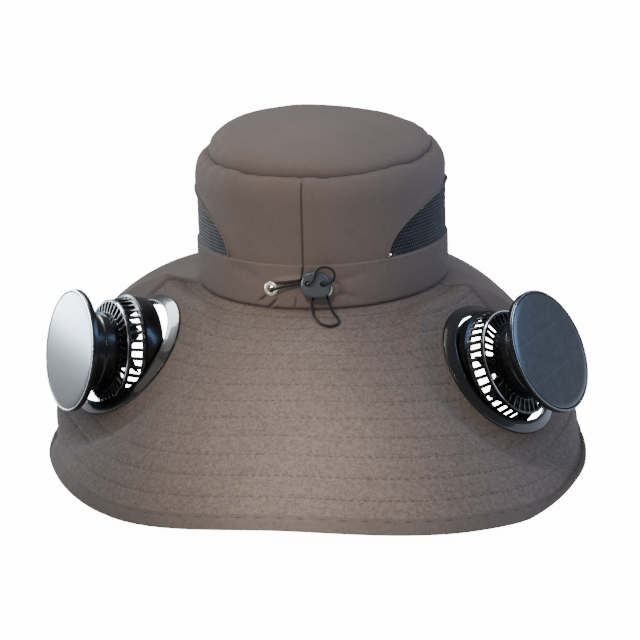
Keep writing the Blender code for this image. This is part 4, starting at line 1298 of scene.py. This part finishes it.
# %% A helper for turned pieces
def rounded(outline, radius, closed=True, steps=4):
    """An outline with each corner cut into a short curve, as (radius, height) points."""
    points = [as_array(point) for point in outline]
    count = len(points)
    made = []
    for i, point in enumerate(points):
        if not closed and i in (0, count - 1):
            made.append(point)
            continue
        before, after = points[i - 1] - point, points[(i + 1) % count] - point
        reach = min(radius, 0.45 * np.linalg.norm(before), 0.45 * np.linalg.norm(after))
        first = point + before / np.linalg.norm(before) * reach
        last = point + after / np.linalg.norm(after) * reach
        for t in np.linspace(0.0, 1.0, steps + 1):
            made.append((1 - t) ** 2 * first + 2 * t * (1 - t) * point + t ** 2 * last)
    return as_array(made)


def spin(outline, turns):
    """Points of an outline spun round local Z to the given turns, a row for each outline point."""
    outline = as_array(outline)
    return np.stack((outline[:, None, 0] * np.cos(turns), outline[:, None, 0] * np.sin(turns),
                     np.broadcast_to(outline[:, None, 1], (len(outline), len(turns)))), axis=2).reshape(-1, 3)


def placed_mesh(name, verts, faces, matrix, merge=1e-7):
    """A mesh from points about local Z, put where the matrix says."""
    points = verts @ as_array(matrix.to_3x3()).T + as_array(matrix.translation)
    return mesh_from(name, points, faces, verts[:, :2].copy(), merge=merge)


def show_turned(name, outline, matrix, finish, body, nodes=(), steps=96, closed=True):
    """Spin an outline into a piece and show it on its body."""
    faces = ring_faces(len(outline), steps, closed)
    mesh = placed_mesh(name, spin(outline, even_turns(steps)), faces, matrix)
    return show(name, mesh, finish, body, nodes)


EYELET_OUTLINE = rounded(((0.0026, 0.0011), (0.0042, 0.00115), (0.0050, 0.0004), (0.0050, 0.0002),
                          (0.0028, 0.0002), (0.0028, -0.0038), (0.0022, -0.0038), (0.0022, 0.0005)), 0.0005)
eyelets = [show_turned("brass_eyelet_" + name, EYELET_OUTLINE, turned_toward(*eyelet_place(across)),
                       pale_brass, "root", ["eyelet_" + name], 48)
           for name, across in EYELET_PLACES.items()]
print("eyelet faces:", len(eyelets[0].data.polygons))

# %% [markdown]
# ## Toggle and drawcord
#
# The toggle is a flat moulded stopper with two holes. Its outline is a rounded square, narrower at
# the top, and its face is domed toward the edge. Rings of that outline at several depths make its
# body, and two round cutters open its holes.

# %% Mould the toggle
TOGGLE_CENTRE = as_array((0.0085, -HEAD_HALF_LENGTH - 0.0072, 0.0199))
TOGGLE_WIDTH = 0.0222
TOGGLE_HEIGHT = 0.0180
TOGGLE_DEPTH = 0.0055
TOGGLE_HOLE = 0.0020
TOGGLE_HOLE_RISE = 0.0010
TOGGLE_SPACING = 0.0102
TOGGLE_SHARP_ANGLE = 30.0
TOGGLE_STEPS = 96

# Each ring of the toggle's face and back: its scale, and its depth as a share of the half depth
TOGGLE_RINGS = ((0.30, 1.0), (0.80, 1.0), (0.92, 0.93), (0.98, 0.70), (1.0, 0.25), (1.0, -0.25),
                (0.98, -0.62), (0.93, -0.85), (0.84, -0.97), (0.60, -1.0), (0.30, -1.0))


def toggle_ring(scale, depth):
    turns = even_turns(TOGGLE_STEPS)
    cosine, sine = np.cos(turns), np.sin(turns)
    x = np.sign(cosine) * np.abs(cosine) ** 0.80
    z = np.sign(sine) * np.abs(sine) ** 0.82
    narrow = 1.0 - 0.11 * (z + 1.0)
    return np.stack((x * narrow * TOGGLE_WIDTH / 2 * scale, np.full(TOGGLE_STEPS, depth * TOGGLE_DEPTH / 2),
                     z * TOGGLE_HEIGHT / 2 * scale), axis=1)


def build_toggle():
    verts = np.concatenate([toggle_ring(*row) for row in TOGGLE_RINGS]) + TOGGLE_CENTRE
    caps = [tuple(range(TOGGLE_STEPS)), tuple(range(len(verts) - TOGGLE_STEPS, len(verts)))]
    faces = ring_faces(len(TOGGLE_RINGS), TOGGLE_STEPS) + caps
    cutters = []
    for side in (-1.0, 1.0):
        middle = TOGGLE_CENTRE + as_array((side * TOGGLE_SPACING / 2, 0.0, TOGGLE_HOLE_RISE))
        cutters.append(round_bar(middle, as_array((0.0, TOGGLE_DEPTH, 0.0)), TOGGLE_HOLE, 40))
    mesh = cut_holes(mesh_from("stopper", verts, faces), cutters)
    shade_smooth(mesh, TOGGLE_SHARP_ANGLE)
    return show("stopper", mesh, grey_plastic, "root", ["toggle"])


stopper = build_toggle()
print("toggle faces:", len(stopper.data.polygons))

# %% [markdown]
# The drawcord is 1.8 mm thick. It leaves the left eyelet, runs behind the toggle, comes forward
# through it, makes a loop in front, goes back through, and hangs down in a second loop that lies
# on the brim before it returns to the right eyelet. A curve through a few dozen points is the
# natural way to draw it, because its thickness stays the same along the whole route.

# %% Thread the drawcord
CORD_DIAMETER = 0.0018
CORD_POINTS = 220

# Millimetres across the head, out from the back of the head opening and above the crown base
CORD_ROUTE = (
    (-21.9, -5.5, 13.9), (-23.4, 0.0, 13.9), (-22.2, 3.0, 14.6), (-18.0, 3.5, 15.9), (-12.8, 3.2, 17.2),
    (-8.1, 2.9, 18.0), (-3.4, 2.8, 19.0), (0.4, 2.9, 20.6), (3.0, 4.2, 21.3), (3.4, 7.2, 21.4),
    (3.5, 10.7, 21.4), (5.1, 13.0, 21.9), (7.8, 12.9, 24.2), (8.9, 12.9, 28.6), (11.4, 12.9, 32.1),
    (15.7, 12.9, 33.2), (20.0, 12.9, 31.5), (21.8, 12.9, 27.8), (20.3, 12.9, 24.0), (17.0, 12.6, 21.9),
    (14.1, 11.2, 21.3), (13.6, 7.2, 21.2), (13.4, 4.2, 20.6), (12.0, 3.0, 17.4), (9.4, 2.7, 13.6),
    (6.4, 3.0, 10.0), (5.0, 4.2, 6.4), (5.5, 6.0, 1.6), (7.0, 8.6, -1.5), (9.4, 12.8, -3.0),
    (13.1, 16.8, -4.5), (18.3, 18.1, -5.3), (22.7, 15.8, -5.0), (24.0, 12.3, -4.0), (22.2, 8.0, -2.3),
    (18.8, 4.9, 0.8), (16.9, 3.5, 5.0), (15.8, 3.1, 8.6), (15.0, 2.6, 11.6), (14.1, 0.8, 13.7),
    (12.9, -4.7, 13.9),
)


def smooth_curve(points, count):
    """Evenly spaced points on a smooth curve through the given ones."""
    padded = np.concatenate(([2 * points[0] - points[1]], points, [2 * points[-1] - points[-2]]))
    dense = []
    for i in range(1, len(padded) - 2):
        p0, p1, p2, p3 = padded[i - 1:i + 3]
        for t in np.arange(12) / 12:
            dense.append(0.5 * (2 * p1 + (p2 - p0) * t + (2 * p0 - 5 * p1 + 4 * p2 - p3) * t ** 2
                                + (3 * p1 - p0 - 3 * p2 + p3) * t ** 3))
    dense = as_array(dense + [points[-1]])
    run = run_along(dense)
    return at_runs(dense, run, np.linspace(0.0, run[-1], count)), run[-1]


def build_cord():
    route = as_array(CORD_ROUTE) * MM * as_array((1.0, -1.0, 1.0)) - as_array((0.0, HEAD_HALF_LENGTH, 0.0))
    path, length = smooth_curve(route, CORD_POINTS)
    path = path + CROWN_BASE
    curve = bpy.data.curves.new("braided_drawcord", "CURVE")
    curve.dimensions = "3D"
    curve.bevel_depth = CORD_DIAMETER / 2
    curve.bevel_resolution = 5
    curve.use_fill_caps = True
    spline = curve.splines.new("POLY")
    spline.points.add(len(path) - 1)
    for spline_point, point in zip(spline.points, path):
        spline_point.co = (*point, 1.0)
    made = show("braided_drawcord", curve, cord_braid, "root", ["drawcord"])
    return length


print("drawcord length:", round(build_cord(), 3), "m")

# %% [markdown]
# ## Fans
#
# Each fan has a ring let into the brim and a head that tilts in it like a ball in a socket. The
# ring is a shallow cone with a raised lip, and a thinner ring clamps the cloth from below.

# %% Seat the rings in the brim
FLANGE_BORE = 0.0412
FLANGE_OUTER = 0.0490
FLANGE_LIP = 0.0048
CLAMP_OUTER = 0.0475
CLAMP_DEPTH = 0.0016
BALL_RADIUS = 0.0397
PIN_RADIUS = 0.0015
PIN_LENGTH = 0.0022
PIN_GAP = 0.0004


def seat_matrix(seat):
    centre, normal, hinge = SEAT_FRAMES[seat.name]
    turn = Matrix((hinge, normal.cross(hinge), normal)).transposed().to_4x4()
    return Matrix.Translation(centre + normal * PIVOT_RISE) @ turn


def build_ring(seat):
    matrix = seat_matrix(seat)
    low = SEAM_GAP - PIVOT_RISE
    lip = low + FLANGE_LIP
    outline = rounded(((FLANGE_BORE, lip), (FLANGE_BORE + 0.0008, lip), (FLANGE_BORE + 0.0028, lip - 0.0008),
                       (FLANGE_BORE + 0.0058, low + 0.0022), (FLANGE_OUTER - 0.0003, low + 0.0011),
                       (FLANGE_OUTER, low + 0.0004), (FLANGE_OUTER, low), (FLANGE_BORE, low)), 0.0006)
    made = show_turned("fan_ring_" + seat.name, outline, matrix, ring_plastic, "root",
                       ["fan_flange_" + seat.name])
    top = -PIVOT_RISE - BRIM_CLOTH - SEAM_GAP
    clamp = rounded(((DUCT_RADIUS, top), (CLAMP_OUTER, top), (CLAMP_OUTER, top - CLAMP_DEPTH),
                     (DUCT_RADIUS, top - CLAMP_DEPTH)), 0.0005)
    show_turned("fan_clamp_ring_" + seat.name, clamp, matrix, black_plastic, "root",
                ["fan_clamp_" + seat.name])
    pin = rounded(((0.0, 0.0), (PIN_RADIUS, 0.0), (PIN_RADIUS, PIN_LENGTH), (0.0, PIN_LENGTH)), 0.0003,
                  closed=False)
    for end, end_name in ((-1.0, "back"), (1.0, "front")):
        place = matrix @ Matrix.Translation((end * (BALL_RADIUS + PIN_GAP), 0.0, 0.0)) @ Matrix.Rotation(
            end * math.pi / 2, 4, "Y")
        show_turned("fan_pin_%s_%s" % (seat.name, end_name), pin, place, black_plastic, "root",
                    steps=24, closed=False)
    return made


rings = [build_ring(seat) for seat in FAN_SEATS]
print("ring faces:", len(rings[0].data.polygons))

# %% [markdown]
# The head's round band turns in the ring. Above it stands a cage with two tiers of slots, one in
# its side and one in its sloping top, so that the fan can draw air. The slots are left out of a
# grid of faces, and the bars between them keep a real thickness.

# %% Mould the fan cages
CAGE_SLOTS = 38
BAR_SHARE = 0.38
SLOT_STEPS = 3
CAGE_WALL = 0.0014
# A thin silver metal ring on the ridge between the tiers is a painted highlight for that ridge
CAGE_RIDGE_HIGHLIGHT = ((0.0355, 0.0138), (0.0359, 0.0140), (0.0357, 0.0144), (0.0352, 0.0142))


def head_matrix(seat):
    return seat_matrix(seat) @ Matrix.Rotation(math.radians(seat.rest_tilt), 4, "X")


def cage_rows():
    """The cage's outline from its foot up, and the rows where a tier of slots starts."""
    rows = [(math.sqrt(BALL_RADIUS ** 2 - height ** 2), height) for height in np.linspace(-0.0110, 0.0015, 9)]
    rows += [(0.0382, 0.0021), (0.0376, 0.0044)]
    side_from = len(rows) - 1
    rows += [(0.0368, 0.0080), (0.0361, 0.0114), (0.0357, 0.0134), (0.0350, 0.01415)]
    top_from = len(rows)
    rows += [(0.0339, 0.0144), (0.0303, 0.0151), (0.0268, 0.0157), (0.0245, 0.0158)]
    return as_array(rows), (side_from, side_from + 1, top_from, top_from + 1)


def build_cage(seat):
    body = "fan_head_" + seat.name
    outline, slots = cage_rows()
    steps = BAR_SHARE + (1.0 - BAR_SHARE) * np.arange(SLOT_STEPS + 1) / SLOT_STEPS
    turns = (math.tau / CAGE_SLOTS * (np.arange(CAGE_SLOTS)[:, None] + steps)).ravel()
    columns = len(turns)
    faces = [face for i, face in enumerate(ring_faces(len(outline), columns))
             if i // columns not in slots or i % columns % (SLOT_STEPS + 1) == SLOT_STEPS]
    name = "fan_cage_shell_" + seat.name
    mesh = placed_mesh(name, spin(outline, turns), faces, head_matrix(seat))
    made = show(name, mesh, black_plastic, body, ["fan_cage_" + seat.name])
    wall = made.modifiers.new("wall", "SOLIDIFY")
    wall.thickness = CAGE_WALL
    wall.offset = -1.0
    # Silver ring as a painted highlight on the ridge between the two tiers of slots
    show_turned("cage_ridge_" + seat.name, CAGE_RIDGE_HIGHLIGHT, head_matrix(seat), silver_line, body,
                steps=128)
    return made


cages = [build_cage(seat) for seat in FAN_SEATS]
print("cage faces:", len(cages[0].data.polygons))

# %% [markdown]
# A stepped neck carries the round solar panel above the cage. The panel's rim is thick and black,
# with a thin silver line round the cell, and the cell is a very slightly domed disc under resin.

# %% Mould the solar panels
DISC_RADIUS = 0.0418
DISC_FACE = 0.0420
DISC_DEPTH = 0.0048
NECK_RADIUS = 0.0265
NECK_BOTTOM = 0.0161
CELL_RADIUS = 0.0394
CELL_DOME = 0.0010


def build_panel(seat):
    body = "fan_head_" + seat.name
    matrix = head_matrix(seat)
    under = DISC_FACE - DISC_DEPTH
    ledge = DISC_FACE - 0.0009
    outline = rounded(((0.0, ledge), (CELL_RADIUS + 0.0003, ledge), (CELL_RADIUS + 0.0005, DISC_FACE),
                       (DISC_RADIUS - 0.0004, DISC_FACE), (DISC_RADIUS, DISC_FACE - 0.0008),
                       (DISC_RADIUS - 0.0002, under + 0.0008), (DISC_RADIUS - 0.0016, under),
                       (NECK_RADIUS + 0.0006, under), (NECK_RADIUS - 0.0006, under - 0.0012),
                       (NECK_RADIUS - 0.0006, NECK_BOTTOM + 0.0100), (NECK_RADIUS, NECK_BOTTOM + 0.0092),
                       (NECK_RADIUS, NECK_BOTTOM), (NECK_RADIUS - 0.0020, NECK_BOTTOM),
                       (NECK_RADIUS - 0.0022, under + 0.0020), (0.0, under + 0.0020)), 0.0005, closed=False)
    show_turned("panel_housing_" + seat.name, outline, matrix, black_plastic, body,
                ["solar_housing_" + seat.name], 128, closed=False)
    face = DISC_FACE + 0.0002
    dome = [(CELL_RADIUS * out, face + CELL_DOME * (1.0 - out * out)) for out in np.linspace(0.0, 0.98, 12)]
    cell = dome + [(CELL_RADIUS, face - 0.0002), (CELL_RADIUS, face - 0.0008), (0.0, face - 0.0008)]
    made = show_turned("cell_face_" + seat.name, cell, matrix, cell_glass, body,
                       ["solar_cell_" + seat.name], 128, closed=False)
    line_in, line_out = CELL_RADIUS + 0.0010, CELL_RADIUS + 0.0017
    line_low, line_top = DISC_FACE - 0.0001, DISC_FACE + 0.00025
    line = rounded(((line_in, line_low), (line_in, line_top), (line_out, line_top), (line_out, line_low)),
                   0.0001)
    show_turned("panel_silver_line_" + seat.name, line, matrix, silver_line, body, steps=128)
    return made


cells = [build_panel(seat) for seat in FAN_SEATS]
print("cell faces:", len(cells[0].data.polygons))

# %% [markdown]
# Inside the cage a small motor drives the fan. Its blades are twisted and curved like a ship's
# screw, so each blade is a grid that turns as it goes out from the hub.

# %% Build the motors and fans
MOTOR_RADIUS = 0.0120
MOTOR_BOTTOM = 0.0140
SHAFT_RADIUS = 0.0012
SHAFT_LENGTH = 0.0070
HUB_TOP = MOTOR_BOTTOM - 0.0003
HUB_LOW = HUB_TOP - 0.0130
HUB_RADIUS = 0.0115
HUB_BORE = 0.0015
BLADE_COUNT = 7
BLADE_ROOT = HUB_RADIUS - 0.0006
BLADE_TIP = 0.0325
BLADE_PITCH = 43.0
BLADE_CHORD = 0.0195
BLADE_SWEEP = 0.10
BLADE_HALF_THICKNESS = 0.0006
BLADE_CAMBER = 0.0008


def blade_grid(turn, lift):
    """Upper or lower face of one blade, as a grid from the hub to the tip."""
    out = np.linspace(0.0, 1.0, 7)[:, None]
    across = np.linspace(-0.5, 0.5, 9)[None, :]
    radius = BLADE_ROOT + (BLADE_TIP - BLADE_ROOT) * out
    pitch = np.radians(BLADE_PITCH * (1.0 - 0.25 * out))
    flat = across * BLADE_CHORD * (0.55 + 0.45 * out) * (1.0 - 0.12 * out ** 6)
    angle = turn + BLADE_SWEEP * out ** 2 + flat * np.cos(pitch) / radius
    height = (HUB_TOP + HUB_LOW) / 2 + flat * np.sin(pitch)
    height = height + BLADE_CAMBER * (1.0 - 4.0 * across ** 2) + lift * (1.0 - 3.2 * across ** 2)
    return np.stack((radius * np.cos(angle), radius * np.sin(angle), height), axis=2)


def build_fan(seat):
    matrix = head_matrix(seat)
    hub = rounded(((HUB_BORE, HUB_TOP), (HUB_RADIUS, HUB_TOP), (HUB_RADIUS, HUB_LOW), (HUB_BORE, HUB_LOW)),
                  0.0012)
    verts = spin(hub, even_turns(56))
    faces = ring_faces(len(hub), 56, closed=True)
    for turn in even_turns(BLADE_COUNT):
        grids = [blade_grid(turn, lift) for lift in (BLADE_HALF_THICKNESS, -BLADE_HALF_THICKNESS)]
        faces += slab_faces(*grids[0].shape[:2], start=len(verts)).tolist()
        verts = np.concatenate((verts, *(grid.reshape(-1, 3) for grid in grids)))
    name = "fan_blades_" + seat.name
    mesh = placed_mesh(name, verts, faces, matrix, merge=1e-8)
    made = show(name, mesh, blade_plastic, "rotor_" + seat.name, ["impeller_" + seat.name])
    top = DISC_FACE - DISC_DEPTH + 0.0017
    end = MOTOR_BOTTOM - SHAFT_LENGTH
    motor = rounded(((0.0, top), (MOTOR_RADIUS, top), (MOTOR_RADIUS, MOTOR_BOTTOM),
                     (SHAFT_RADIUS, MOTOR_BOTTOM), (SHAFT_RADIUS, end), (0.0, end)), 0.0006, closed=False)
    show_turned("motor_can_" + seat.name, motor, matrix, motor_steel, "fan_head_" + seat.name,
                ["fan_motor_" + seat.name], 48, closed=False)
    return made


fans = [build_fan(seat) for seat in FAN_SEATS]
print("fan faces:", len(fans[0].data.polygons))
